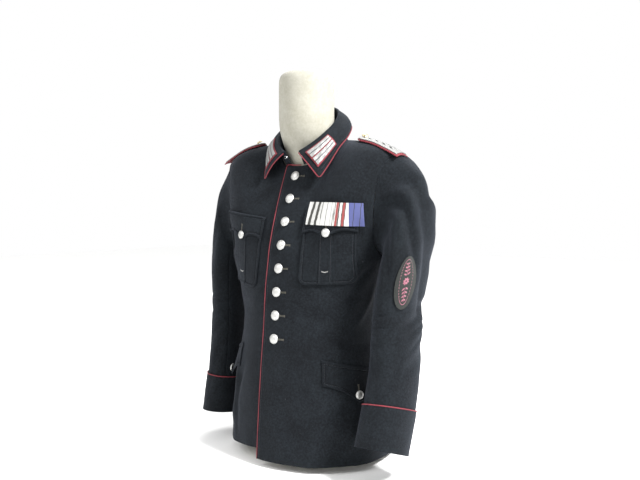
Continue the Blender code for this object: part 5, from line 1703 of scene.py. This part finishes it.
bar_braid = bar_material()
for side_name, side in SIDES:
    top = TAB_REST + TAB_WALL
    depths, ends = (TAB_TOP, TAB_BOTTOM), (TAB_START, TAB_END)
    tab = strip(f"collar_tab_{side_name}_cloth", side, depths, ends, top, TAB_WALL)
    finish_piece(tab, red_cloth, "red_cloth", f"collar_tab_{side_name}")
    height = (TAB_BOTTOM - TAB_TOP) * BAR_SHARE
    ends = (TAB_START + BAR_END_INSET, TAB_END - BAR_END_INSET)
    for number, down in ((1, TAB_TOP + BAR_INSET), (2, TAB_BOTTOM - BAR_INSET - height)):
        bar = strip(
            f"collar_bar_{side_name}_{number}_braid", side, (down, down + height), ends,
            top + BAR_AIR + BAR_WALL, BAR_WALL - BAR_CORD, BAR_CORD,
        )
        finish_piece(bar, bar_braid, "silver_braid", f"collar_bar_{side_name}_{number}")
print("tabs done")

# %% [markdown]
# ## Ribbon bar
# Four ribbons are sewn over one stiff bar. Each is a fine ribbed silk with woven stripes. On this bar they
# lean a little, so the stripes are lines on a slanting coordinate.
# %% Ribbons
RIBBON_INNER_X = 0.060
RIBBON_OUTER_X = 0.181
RIBBON_BOTTOM_Z = 0.519
RIBBON_TOP_Z = 0.567
# Shares of the bar's length at which the ribbons end
RIBBON_ENDS = [0.0, 0.29, 0.525, 0.765, 1.0]
RIBBON_BASE = FLAP_BASE + POCKET_WALL + FLAP_AIR
RIBBON_WALL = 0.0022
RIBBON_SLANT = 0.17
RIBBON_WANDER = 0.08
STRIPE_EDGE = 0.008
RIBBON_COLUMNS = 34
RIBBON_ROWS = 50
RIBBON_RELIEF = 0.00016
RIBBON_BOW = 0.0005
RIB_PITCH = 0.0009
RIBBON_WHITE = colour(0.56, 0.56, 0.54)
RIBBON_BLACK = colour(0.016, 0.016, 0.010)
RIBBON_GREY = colour(0.12, 0.12, 0.11)
RIBBON_RED = colour(0.24, 0.028, 0.026)
RIBBON_BLUE = colour(0.050, 0.062, 0.20)
RIBBON_NAVY = colour(0.008, 0.010, 0.03)
Stripe = namedtuple("Stripe", "middle half colour")
RIBBONS = [
    ("ribbon_white", RIBBON_WHITE, [Stripe(0.36, 0.105, RIBBON_BLACK), Stripe(0.78, 0.085, RIBBON_BLACK)]),
    ("ribbon_grey", RIBBON_WHITE, [Stripe(0.05, 0.026, RIBBON_BLACK), Stripe(0.46, 0.022, RIBBON_GREY),
                                   Stripe(0.80, 0.012, RIBBON_GREY), Stripe(0.97, 0.026, RIBBON_GREY)]),
    ("ribbon_red", RIBBON_WHITE, [Stripe(0.04, 0.024, RIBBON_BLACK), Stripe(0.20, 0.080, RIBBON_RED),
                                  Stripe(0.33, 0.042, RIBBON_BLACK), Stripe(0.66, 0.075, RIBBON_RED),
                                  Stripe(0.565, 0.024, RIBBON_BLACK), Stripe(0.76, 0.024, RIBBON_BLACK)]),
    ("ribbon_blue", RIBBON_BLUE, [Stripe(0.33, 0.026, RIBBON_NAVY), Stripe(0.78, 0.026, RIBBON_NAVY)]),
]


def ribbon_material(name, ground, stripes):
    material, flow, shader = surface(name.replace("_", " "), roughness=0.55, sheen=0.15)
    u, v, _ = cloth_place(flow).parts()
    rib = v.wave(RIB_PITCH)
    silk = place_of(flow).noise(900.0, 2.0)
    wander = place_of(flow).noise(120.0, 1.0)
    lean = RIBBON_SLANT / (RIBBON_TOP_Z - RIBBON_BOTTOM_Z)
    across = u - v * lean + wander * RIBBON_WANDER + (RIBBON_SLANT - RIBBON_WANDER) / 2
    base = (silk * 0.3).blend(ground, colour(*(part * 0.72 for part in ground[:3])))
    for stripe in stripes:
        inside = 1.0 - abs(across - stripe.middle).above(stripe.half, STRIPE_EDGE)
        base = inside.blend(base, stripe.colour)
    connect(flow, shader, "Base Color", (rib * 0.22).blend(base, colour(0.02, 0.02, 0.02)))
    emboss(flow, shader, rib * 0.8 + silk * 0.3, RIBBON_RELIEF)
    return material


def plump(u, v):
    """The ribbon's outer face, a little fuller in its middle than at its folded ends."""
    up = np.clip((v - RIBBON_BOTTOM_Z) / (RIBBON_TOP_Z - RIBBON_BOTTOM_Z), 0, 1)
    return RIBBON_BASE + RIBBON_WALL - RIBBON_BOW + RIBBON_BOW * np.sqrt(np.sin(pi * up))


xs = np.linspace(RIBBON_INNER_X, RIBBON_OUTER_X, 240)
line = on_front(1, xs, (RIBBON_BOTTOM_Z + RIBBON_TOP_Z) / 2, RIBBON_BASE)
run = np.concatenate([[0], np.cumsum(np.linalg.norm(np.diff(line, axis=0), axis=-1))])
ribbon_ends = np.interp(np.array(RIBBON_ENDS) * run[-1], run, xs)
for k, (slot_name, ground, stripes) in enumerate(RIBBONS):
    xs = np.linspace(ribbon_ends[k] + SEAM / 2, ribbon_ends[k + 1] - SEAM / 2, RIBBON_COLUMNS)
    columns = [((x, RIBBON_BOTTOM_Z), (x, RIBBON_TOP_Z)) for x in xs]
    points = patch_grid(columns, RIBBON_ROWS, lambda u, v, h: on_front(1, u, v, h), plump)
    cut = stack(*np.meshgrid(np.linspace(0, 1, RIBBON_COLUMNS), lengths(points, 0)), 0.0)
    ribbon = grid_object(f"ribbon_{k + 1}_silk", points, cut=cut)
    thicken(ribbon, RIBBON_WALL - RIBBON_BOW)
    finish_piece(ribbon, ribbon_material(slot_name, ground, stripes), slot_name, f"ribbon_{k + 1}")
print("ribbon bar", round(run[-1], 4), "m along the cloth")

# %% [markdown]
# ## Sleeve badge
# An oval of dark cloth on the left sleeve carries raised pink satin stitch. The badge here has a design of
# its own: a rosette between two sprigs of leaves inside a thin border. A petal is a small lens of thread
# laid on the oval.
# %% Badge
BADGE_SHARE = 0.462
BADGE_TURN = 30.0
BADGE_HALF_SHARE = 0.078
BADGE_HALF_TURN = 22.0
BADGE_REST = 0.0009
BADGE_WALL = 0.0010
BADGE_AIR = 0.0003
SATIN_WALL = 0.0007
SATIN_DOME = 0.0008
SATIN_STRAND = 0.0007
SATIN_LEAN = 0.2
SATIN_RELIEF = 0.0002
GROUND_THREAD = 0.0008
GROUND_RELIEF = 0.00018
GROUND_ROUND = 0.0004
BADGE_NARROWEST = 0.05
BADGE_GROUND = colour(0.0050, 0.0064, 0.0058)
BADGE_WORN = colour(0.0160, 0.0185, 0.0160)
THREAD_PINK = colour(0.34, 0.105, 0.155)
THREAD_DEEP = colour(0.150, 0.028, 0.052)


def satin_material():
    material, flow, shader = surface("badge satin stitch", roughness=0.5, sheen=0.2)
    u, v, _ = cloth_place(flow).parts()
    strand = (u + v * SATIN_LEAN).wave(SATIN_STRAND)
    fibre = place_of(flow).noise(1500.0, 2.0)
    connect(flow, shader, "Base Color", (strand * 0.5 + fibre * 0.6).blend(THREAD_DEEP, THREAD_PINK))
    emboss(flow, shader, strand, SATIN_RELIEF)
    return material


def ground_material():
    material, flow, shader = surface("badge ground", roughness=0.9, sheen=0.04)
    u, v, _ = cloth_place(flow).parts()
    weave = u.wave(GROUND_THREAD) * v.wave(GROUND_THREAD)
    felt = place_of(flow).noise(500.0, 3.0)
    connect(flow, shader, "Base Color", (weave * 0.3 + felt * 0.7).blend(BADGE_GROUND, BADGE_WORN))
    emboss(flow, shader, weave * 0.6 + felt * 0.6, GROUND_RELIEF)
    return material


badge_top = BADGE_REST + BADGE_WALL
columns = []
for a in np.linspace(0, pi, 60):
    reach = BADGE_HALF_SHARE * max(sin(a), BADGE_NARROWEST)
    turn = BADGE_TURN + BADGE_HALF_TURN * cos(a)
    columns.append(((turn, BADGE_SHARE + reach), (turn, BADGE_SHARE - reach)))
points = patch_grid(columns, 60, lambda u, v, h: on_sleeve(1, u, v, h), lambda u, v: badge_top + 0 * u)
ground = grid_object("sleeve_badge_cloth", points[:, ::-1])
thicken(ground, BADGE_WALL, GROUND_ROUND)
finish_piece(ground, ground_material(), "badge_ground", "sleeve_badge")

here = on_sleeve(1, BADGE_TURN, BADGE_SHARE, 0.0)
TURN_METRE = 1.0 / float(np.linalg.norm(on_sleeve(1, BADGE_TURN + 1, BADGE_SHARE, 0.0) - here))
SHARE_METRE = 0.01 / float(np.linalg.norm(on_sleeve(1, BADGE_TURN, BADGE_SHARE + 0.01, 0.0) - here))


def on_badge(across, up, height):
    """A place on the badge, in metres from its middle to the viewer's right and up."""
    return on_sleeve(1, BADGE_TURN - across * TURN_METRE, BADGE_SHARE - up * SHARE_METRE, badge_top + height)


PETAL_ALONG = 14
PETAL_ACROSS = 7
PETAL_POWER = 0.75
PETAL_DOME_POWER = 0.6
PETAL_LEAST = 0.00012


def petal(across, up, angle, length, width):
    """A lens of satin stitch that starts at a place on the badge and runs off at an angle."""
    s, t = np.meshgrid(np.linspace(0, 1, PETAL_ALONG), np.linspace(-1, 1, PETAL_ACROSS))
    half = width / 2 * np.sin(pi * s) ** PETAL_POWER + PETAL_LEAST
    x = across + s * length * cos(radians(angle)) - t * half * sin(radians(angle))
    y = up + s * length * sin(radians(angle)) + t * half * cos(radians(angle))
    dome = SATIN_DOME * np.sin(pi * s) ** PETAL_DOME_POWER * (1 - t**2)
    thing = grid_object("petal", on_badge(x, y, BADGE_AIR + SATIN_WALL + dome))
    apply(thing, "SOLIDIFY", thickness=SATIN_WALL, offset=-1)
    return thing


# The rosette: petals that start on a small ring
ROSETTE_PETALS = 8
ROSETTE_TURN = 22.5
ROSETTE_CORE = 0.0010
ROSETTE_LENGTH = 0.0072
ROSETTE_WIDTH = 0.0042
# The two sprigs: pairs of leaves that get shorter outwards, on a stem
LEAF_PAIRS = 4
LEAF_FIRST = 0.0125
LEAF_PITCH = 0.0078
LEAF_ASIDE = 0.0005
LEAF_LEANS = ((38, 1), (142, -1))
LEAF_LENGTH = 0.0090
LEAF_SHORTER = 0.0012
LEAF_WIDTH = 0.0036
STEM_START = 0.0105
STEM_LENGTH = 0.0340
STEM_WIDTH = 0.0014
# The border: short stitches round an oval
BORDER_STITCHES = 44
BORDER_HALF_WIDTH = 0.0182 * 0.84
BORDER_HALF_HEIGHT = 0.0462
BORDER_LENGTH = 0.0042
BORDER_WIDTH = 0.0013

petals = []
for k in range(ROSETTE_PETALS):
    angle = 360 * k / ROSETTE_PETALS + ROSETTE_TURN
    x, y = ROSETTE_CORE * cos(radians(angle)), ROSETTE_CORE * sin(radians(angle))
    petals.append(petal(x, y, angle, ROSETTE_LENGTH, ROSETTE_WIDTH))
for way in (1, -1):
    for k in range(LEAF_PAIRS):
        up = way * (LEAF_FIRST + LEAF_PITCH * k)
        size = LEAF_LENGTH - LEAF_SHORTER * k
        for lean, to_side in LEAF_LEANS:
            petals.append(petal(LEAF_ASIDE * to_side, up, lean * way, size, LEAF_WIDTH))
    petals.append(petal(0.0, way * STEM_START, 90 * way, STEM_LENGTH, STEM_WIDTH))
for k in range(BORDER_STITCHES):
    a = 2 * pi * k / BORDER_STITCHES
    x, y = BORDER_HALF_WIDTH * cos(a), BORDER_HALF_HEIGHT * sin(a)
    heading = np.degrees(np.arctan2(BORDER_HALF_HEIGHT * cos(a), -BORDER_HALF_WIDTH * sin(a)))
    petals.append(petal(x, y, heading, BORDER_LENGTH, BORDER_WIDTH))
bpy.ops.object.select_all(action="DESELECT")
for thing in petals:
    thing.select_set(True)
bpy.context.view_layer.objects.active = petals[0]
bpy.ops.object.join()
motif = petals[0]
motif.name = "sleeve_badge_rosette"
soften(motif, 60)
finish_piece(motif, satin_material(), "badge_thread", "sleeve_badge_motif")
print("badge petals", len(petals))

# %% [markdown]
# ## Torso form
# The form is padded canvas over a hard body, smooth and creamy, with a round-topped neck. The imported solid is
# coarse, so a copy is merged, remeshed evenly and smoothed.
# %% Form
FORM_VOXEL = 0.006
FORM_THREAD = 0.0011
FORM_RELIEF = 0.00030
FORM_CREAM = colour(0.34, 0.33, 0.285)
FORM_SHADE = colour(0.25, 0.24, 0.19)


def form_material():
    material, flow, shader = surface("form canvas", roughness=0.82, sheen=0.1)
    place = place_of(flow)
    x, y, z = place.parts()
    weave = (x + y).wave(FORM_THREAD) * z.wave(FORM_THREAD)
    mottle = place.noise(34.0, 5.0, 0.7) * 0.6 + place.noise(210.0, 3.0, 0.6) * 0.4
    connect(flow, shader, "Base Color", mottle.above(0.50, 0.20).blend(FORM_SHADE, FORM_CREAM))
    emboss(flow, shader, weave * 0.5 + mottle * 0.6, FORM_RELIEF)
    return material


cad_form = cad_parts["form_torso"]
form = bpy.data.objects.new("torso_form_canvas", cad_form.data.copy())
bpy.context.scene.collection.objects.link(form)
only(form)
bpy.ops.object.mode_set(mode="EDIT")
bpy.ops.mesh.select_all(action="SELECT")
bpy.ops.mesh.remove_doubles(threshold=1e-5)
bpy.ops.object.mode_set(mode="OBJECT")
apply(form, "REMESH", mode="VOXEL", voxel_size=FORM_VOXEL, use_smooth_shade=True)
apply(form, "SMOOTH", factor=0.5, iterations=6)
floor_level = [vertex for vertex in form.data.vertices if vertex.co.z < FORM_VOXEL]
for vertex in floor_level:
    vertex.co.z = 0.0 if vertex.co.z < FORM_VOXEL / 2 else vertex.co.z
soften(form, 40)
finish_piece(form, form_material(), "form_fabric", "form_torso")
print("form", len(form.data.polygons), "faces")

# %% [markdown]
# ## Buttons
# A pebbled metal button has a rolled rim, a groove inside it and a low dome. One is drawn up from a disc by
# extruding and shrinking its top face step by step, and every other one is a copy.
# %% Button shape
BUTTON_RADIUS = 0.0107
BUTTON_HEIGHT = 0.0058
BUTTON_X = 0.002
BUTTON_REST = 0.0004
BUTTON_TOP_Z = 0.627
BUTTON_PITCH = 0.0502
BUTTON_COUNT = 8
SMALL_BUTTON_RADIUS = 0.0092
BUTTON_SIDES = 44
# Reach from the axis and rise, in shares of the button's radius and height
BUTTON_PROFILE = [
    (0.84, 0.00), (0.95, 0.05), (1.00, 0.15), (1.00, 0.25), (0.975, 0.35), (0.94, 0.39), (0.905, 0.375),
    (0.88, 0.42), (0.82, 0.58), (0.72, 0.73), (0.58, 0.86), (0.42, 0.94), (0.24, 0.985), (0.08, 1.00),
]


def first_button():
    bpy.ops.object.select_all(action="DESELECT")
    bpy.ops.mesh.primitive_circle_add(vertices=BUTTON_SIDES, radius=BUTTON_PROFILE[0][0], fill_type="NGON")
    thing = bpy.context.object
    bpy.ops.object.mode_set(mode="EDIT")
    for (reach, rise), (wider, higher) in zip(BUTTON_PROFILE, BUTTON_PROFILE[1:]):
        bpy.ops.mesh.extrude_region_move(TRANSFORM_OT_translate={"value": (0, 0, higher - rise)})
        bpy.ops.transform.resize(value=(wider / reach, wider / reach, 1))
    bpy.ops.mesh.select_all(action="SELECT")
    bpy.ops.mesh.normals_make_consistent(inside=False)
    bpy.ops.object.mode_set(mode="OBJECT")
    soften(thing, 70)
    return thing


def place_button(name, pattern, point, normal, radius, material, slot, node):
    """A copy of the pattern button, with its own mesh, at a place and facing a way."""
    height = BUTTON_HEIGHT * radius / BUTTON_RADIUS
    mesh = pattern.data.copy()
    turn = Vector(normal).to_track_quat("Z", "Y").to_matrix().to_4x4()
    mesh.transform(Matrix.Translation(Vector(point)) @ turn @ Matrix.Diagonal((radius, radius, height, 1)))
    thing = bpy.data.objects.new(name, mesh)
    bpy.context.scene.collection.objects.link(thing)
    finish_piece(thing, material, slot, node)


pattern = first_button()


def front_normal(x, z):
    level = level_at(x, z)
    return body_normal(angle_at(x, level), level)


def smooth_front(side, x, z, height):
    """A place over a front without its creases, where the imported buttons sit."""
    level = level_at(x, z)
    angle = angle_at(x, level)
    point = body(angle, level)
    lift = lap_lift(side, point[..., 0]) + WALL / 2 + height
    return point + body_normal(angle, level) * lift


for k in range(BUTTON_COUNT):
    z = BUTTON_TOP_Z - BUTTON_PITCH * k
    at = smooth_front(1, BUTTON_X, z, BUTTON_REST)
    place_button(f"front_button_{k + 1}_metal", pattern, at, front_normal(BUTTON_X, z), BUTTON_RADIUS,
                 silver, "silver_metal", f"front_button_{k + 1}")

for side_name, side in SIDES:
    at = on_pocket(side, 0.0, FLAP_TIP_Z + FLAP_BUTTON_RISE, FLAP_BASE + POCKET_WALL + BUTTON_REST)
    place_button(f"breast_button_{side_name}_metal", pattern, at, front_normal(at[0], at[2]),
                 SMALL_BUTTON_RADIUS, silver, "silver_metal", f"breast_button_{side_name}")
    angle = (HIP_INNER_ANGLE + HIP_OUTER_ANGLE) / 2 * side
    z = float(hip_top(side, angle)[1]) - HIP_DROP - HIP_POINT_DROP + HIP_BUTTON_RISE
    rest = hip_low(side, angle, z) + POCKET_WALL + HIP_BUTTON_STAND[side]
    at = on_skirt(side, angle, z, rest)
    place_button(f"hip_button_{side_name}_metal", pattern, at, body_normal(angle, skirt_level(z)),
                 SMALL_BUTTON_RADIUS, silver, "silver_metal", f"hip_button_{side_name}")
    top = BOARD_REST + BOARD_UNDERLAY + SEAM + BOARD_BRAID + PIP_STAND
    at = shoulder_surface(side, BOARD_INNER_X + PIP_INSET, BOARD_Y, top)
    lean = Vector((PIP_LEAN_X * side, PIP_LEAN_Y, 1)).normalized()
    place_button(f"board_button_{side_name}_metal", pattern, at, lean, PIP_RADIUS,
                 gilt, "gilt_metal", f"board_button_{side_name}")
bpy.data.objects.remove(pattern)
for node in ("collar_hook", "collar_eye"):
    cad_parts[node].material_slots[0].material = steel
print("buttons done")

# %% [markdown]
# ## Stitches
# A row of stitches runs in the groove of every turned edge, and each buttonhole is bound with short bars of
# thread. A stitch is a spindle of a dozen faces, and each row is one mesh.
# %% Threads
STITCH_LENGTH = 0.0024
STITCH_GAP = 0.0009
STITCH_RADIUS = 0.00034
STITCH_STEPS = 6
STITCH_REACH = 4
SPINDLE_FULL = (0.22, 0.78)
SPINDLE_SIDES = 4
SPINDLE_ASIDE = np.array([0.31, 0.27, 0.91])
HOLE_LENGTH = 0.0230
HOLE_BARS = 26
HOLE_BAR = 0.0017
HOLE_RADIUS = 0.00042
HOLE_SLIT = 0.0002
HOLE_END_BARS = 4
HOLE_END = 0.97
HOLE_END_REACH = 0.0012


def threads(name, starts, ends, radius, material):
    """One mesh of spindles, each from a start to an end."""
    starts, ends = np.array(starts, float), np.array(ends, float)
    along = unit(ends - starts)
    side_way = unit(np.cross(along, SPINDLE_ASIDE))
    other = np.cross(along, side_way)
    turns = [2 * pi * k / SPINDLE_SIDES for k in range(SPINDLE_SIDES)]
    rows = [starts]
    for share in SPINDLE_FULL:
        middle = mix(starts, ends, share)
        rows += [middle + (side_way * cos(t) + other * sin(t)) * radius for t in turns]
    rows.append(ends)
    points = np.stack(rows, 1).reshape(-1, 3)
    faces = []
    for k in range(len(starts)):
        # One start, two rings and one end
        first = k * len(rows)
        last = first + len(rows) - 1
        for i in range(SPINDLE_SIDES):
            low, low_next = first + 1 + i, first + 1 + (i + 1) % SPINDLE_SIDES
            high, high_next = low + SPINDLE_SIDES, low_next + SPINDLE_SIDES
            faces += [(first, low_next, low), (low, low_next, high_next, high), (last, high, high_next)]
    mesh = bpy.data.meshes.new(name)
    mesh.from_pydata(points.tolist(), [], faces)
    thing = bpy.data.objects.new(name, mesh)
    bpy.context.scene.collection.objects.link(thing)
    only(thing)
    bpy.ops.object.mode_set(mode="EDIT")
    bpy.ops.mesh.select_all(action="SELECT")
    bpy.ops.mesh.normals_make_consistent(inside=False)
    bpy.ops.object.mode_set(mode="OBJECT")
    soften(thing, 80)
    finish_piece(thing, material, WOOL_SLOT)
    return thing


def row(path):
    """Starts and ends of the stitches along a path of places."""
    run = resample(np.asarray(path, float), (STITCH_LENGTH + STITCH_GAP) / STITCH_STEPS)
    starts = run[0:-STITCH_REACH:STITCH_STEPS]
    return starts, run[STITCH_REACH::STITCH_STEPS][:len(starts)]


def sew(name, paths):
    """Sews rows of stitches along paths as one mesh, and gives their number."""
    pairs = [row(path) for path in paths]
    starts = np.concatenate([pair[0][:len(pair[1])] for pair in pairs])
    ends = np.concatenate([pair[1] for pair in pairs])
    threads(name, starts, ends, STITCH_RADIUS, dark_thread)
    return len(starts)


def buttonhole(place, across, up):
    """Bars of thread on both sides of a slit. The slit runs from (0, 0) along (across, up), in metres."""
    long = np.hypot(across, up)
    side_way = np.array([-up, across]) / long
    starts, ends = [], []
    for k in range(HOLE_BARS):
        at = np.array([across, up]) * (k + 0.5) / HOLE_BARS
        for way in (1, -1):
            starts.append(place(*(at + side_way * way * HOLE_SLIT)))
            ends.append(place(*(at + side_way * way * HOLE_BAR)))
    tip = np.array([across, up])
    for way in np.linspace(-1, 1, HOLE_END_BARS):
        aside = side_way * way * HOLE_BAR
        starts.append(place(*(tip * HOLE_END + aside)))
        ends.append(place(*(tip + aside + tip / long * HOLE_END_REACH)))
    return starts, ends


FRONT_STITCH_Z = (0.020, 0.625)
POCKET_STITCH_TOP = 0.500
POCKET_STITCH_START = 0.016
PLEAT_STITCH_IN = 0.0016
PLEAT_STITCH_RISE = 0.002
# The leaf's stitches run 5.5 mm inside its edge, and the leaf is 55 mm deep
COLLAR_STITCH_DOWN = 1 - 0.0055 / 0.055
COLLAR_STITCH_START = 0.06
PATH_STEP = 0.001

total = 0
edge_z = np.linspace(*FRONT_STITCH_Z, 400)
total += sew("front_edge_stitches", [on_front(1, EDGE_STITCH_IN - FRONT_EDGE + 0 * edge_z, edge_z, 0.0)])
for side_name, side in SIDES:
    inset = POCKET_HALF - RIM
    turn = np.linspace(0, pi / 2, 20)
    round_in = POCKET_CORNER - RIM
    corner_step = inset - round_in + round_in * np.sin(turn)
    corner_z = POCKET_BOTTOM_Z + RIM + round_in - round_in * np.cos(turn)
    steps = np.concatenate([[POCKET_STITCH_START], corner_step, [inset]])
    heights = np.concatenate([[POCKET_BOTTOM_Z + RIM], corner_z, [POCKET_STITCH_TOP]])
    run = resample(stack(steps, heights, 0.0), PATH_STEP)
    paths = [on_pocket(side, way * run[:, 0], run[:, 1], LAY + POCKET_WALL) for way in (1, -1)]
    down = np.linspace(POCKET_BOTTOM_Z + PLEAT_STITCH_RISE, POCKET_STITCH_TOP, 120)
    for way in (1, -1):
        aside = way * (PLEAT_HALF - PLEAT_STITCH_IN) + 0 * down
        paths.append(on_pocket(side, aside, down, LAY + POCKET_WALL + PLEAT_RAISE))
    shares = np.linspace(-1, 1, 200)
    wave = stack((FLAP_HALF - RIM) * shares, flap_bottom(shares) + RIM, 0.0)
    sides_z = np.linspace(FLAP_TOP_Z, FLAP_CORNER_Z + RIM, 60)
    right = stack((FLAP_HALF - RIM) + 0 * sides_z, sides_z, 0.0)
    run = resample(np.concatenate([right * np.array([-1, 1, 1]), wave, right[::-1]]), PATH_STEP)
    paths.append(on_pocket(side, run[:, 0], run[:, 1], flap_low(run[:, 0], run[:, 1]) + POCKET_WALL))
    total += sew(f"breast_pocket_{side_name}_stitches", paths)
    turn_in = np.degrees(RIM / RELIEF_REACH)
    steps = np.linspace(-1, 1, 220)
    angle = mix(HIP_INNER_ANGLE + turn_in, HIP_OUTER_ANGLE - turn_in, (steps + 1) / 2)
    top = hip_top(side, angle)[1]
    drop = HIP_DROP + HIP_POINT_DROP * (1 - np.abs(steps)) - HIP_SCALLOP * np.abs(np.sin(pi * steps)) - RIM
    low_path = stack(angle, top - drop, 0.0)
    ends = [
        stack(angle[end] + 0 * sides_z, np.linspace(top[end] - WELT_HEIGHT, top[end] - drop[end], 60), 0.0)
        for end in (0, -1)
    ]
    run = np.concatenate([ends[0], low_path, ends[1][::-1]])
    welt = stack(angle, top - WELT_HEIGHT, 0.0)
    paths = []
    for path in (run, welt):
        low = hip_low(side, path[:, 0], path[:, 1])
        paths.append(on_skirt(side, path[:, 0] * side, path[:, 1], low + POCKET_WALL))
    total += sew(f"hip_flap_{side_name}_stitches", paths)
    shares = np.linspace(COLLAR_STITCH_START, 1.0, 240)
    downs = COLLAR_STITCH_DOWN + 0 * shares
    total += sew(f"collar_{side_name}_stitches", [on_leaf(side, shares, downs, 0.0)])
print("stitches", total)

# %% Buttonholes and tacks
HIP_HOLE = 0.9

starts, ends = [], []
for k in range(BUTTON_COUNT):
    z = BUTTON_TOP_Z - BUTTON_PITCH * k
    place = lambda a, b, z0=z: on_front(1, BUTTON_X + a, z0 + b, 0.0)
    more = buttonhole(place, HOLE_LENGTH, 0.0)
    starts += more[0]
    ends += more[1]
for side_name, side in SIDES:
    z = FLAP_TIP_Z + FLAP_BUTTON_RISE
    place = lambda a, b, s=side, z0=z: on_pocket(s, a, z0 + b, flap_low(a, z0 + b) + POCKET_WALL)
    more = buttonhole(place, 0.0, HOLE_LENGTH)
    starts += more[0]
    ends += more[1]
    angle = (HIP_INNER_ANGLE + HIP_OUTER_ANGLE) / 2
    z = float(hip_top(side, angle)[1]) - HIP_DROP - HIP_POINT_DROP + HIP_BUTTON_RISE
    place = lambda a, b, s=side, z0=z: on_skirt(
        s, (angle + a / RELIEF_REACH * 180 / pi) * s, z0 + b, hip_low(s, angle, z0 + b) + POCKET_WALL)
    more = buttonhole(place, 0.0, HOLE_LENGTH * HIP_HOLE)
    starts += more[0]
    ends += more[1]
threads("buttonholes", starts, ends, HOLE_RADIUS, hole_thread)

TACK_Z = 0.424
TACK_HALF = 0.0062
TACK_DIP = 0.0016
TACK_STITCH = 0.0010
TACK_COUNT = 16
TACK_RADIUS = 0.00035

starts, ends = [], []
for side_name, side in SIDES:
    lift = LAY + POCKET_WALL + PLEAT_RAISE
    for a in np.linspace(-TACK_HALF, TACK_HALF, TACK_COUNT):
        z = TACK_Z - TACK_DIP * (1 - (a / TACK_HALF) ** 2)
        starts.append(on_pocket(side, a, z - TACK_STITCH, lift))
        ends.append(on_pocket(side, a + TACK_STITCH / 2, z + TACK_STITCH, lift))
threads("pleat_tacks", starts, ends, TACK_RADIUS, pale_thread)
print("bars and tacks", len(starts))
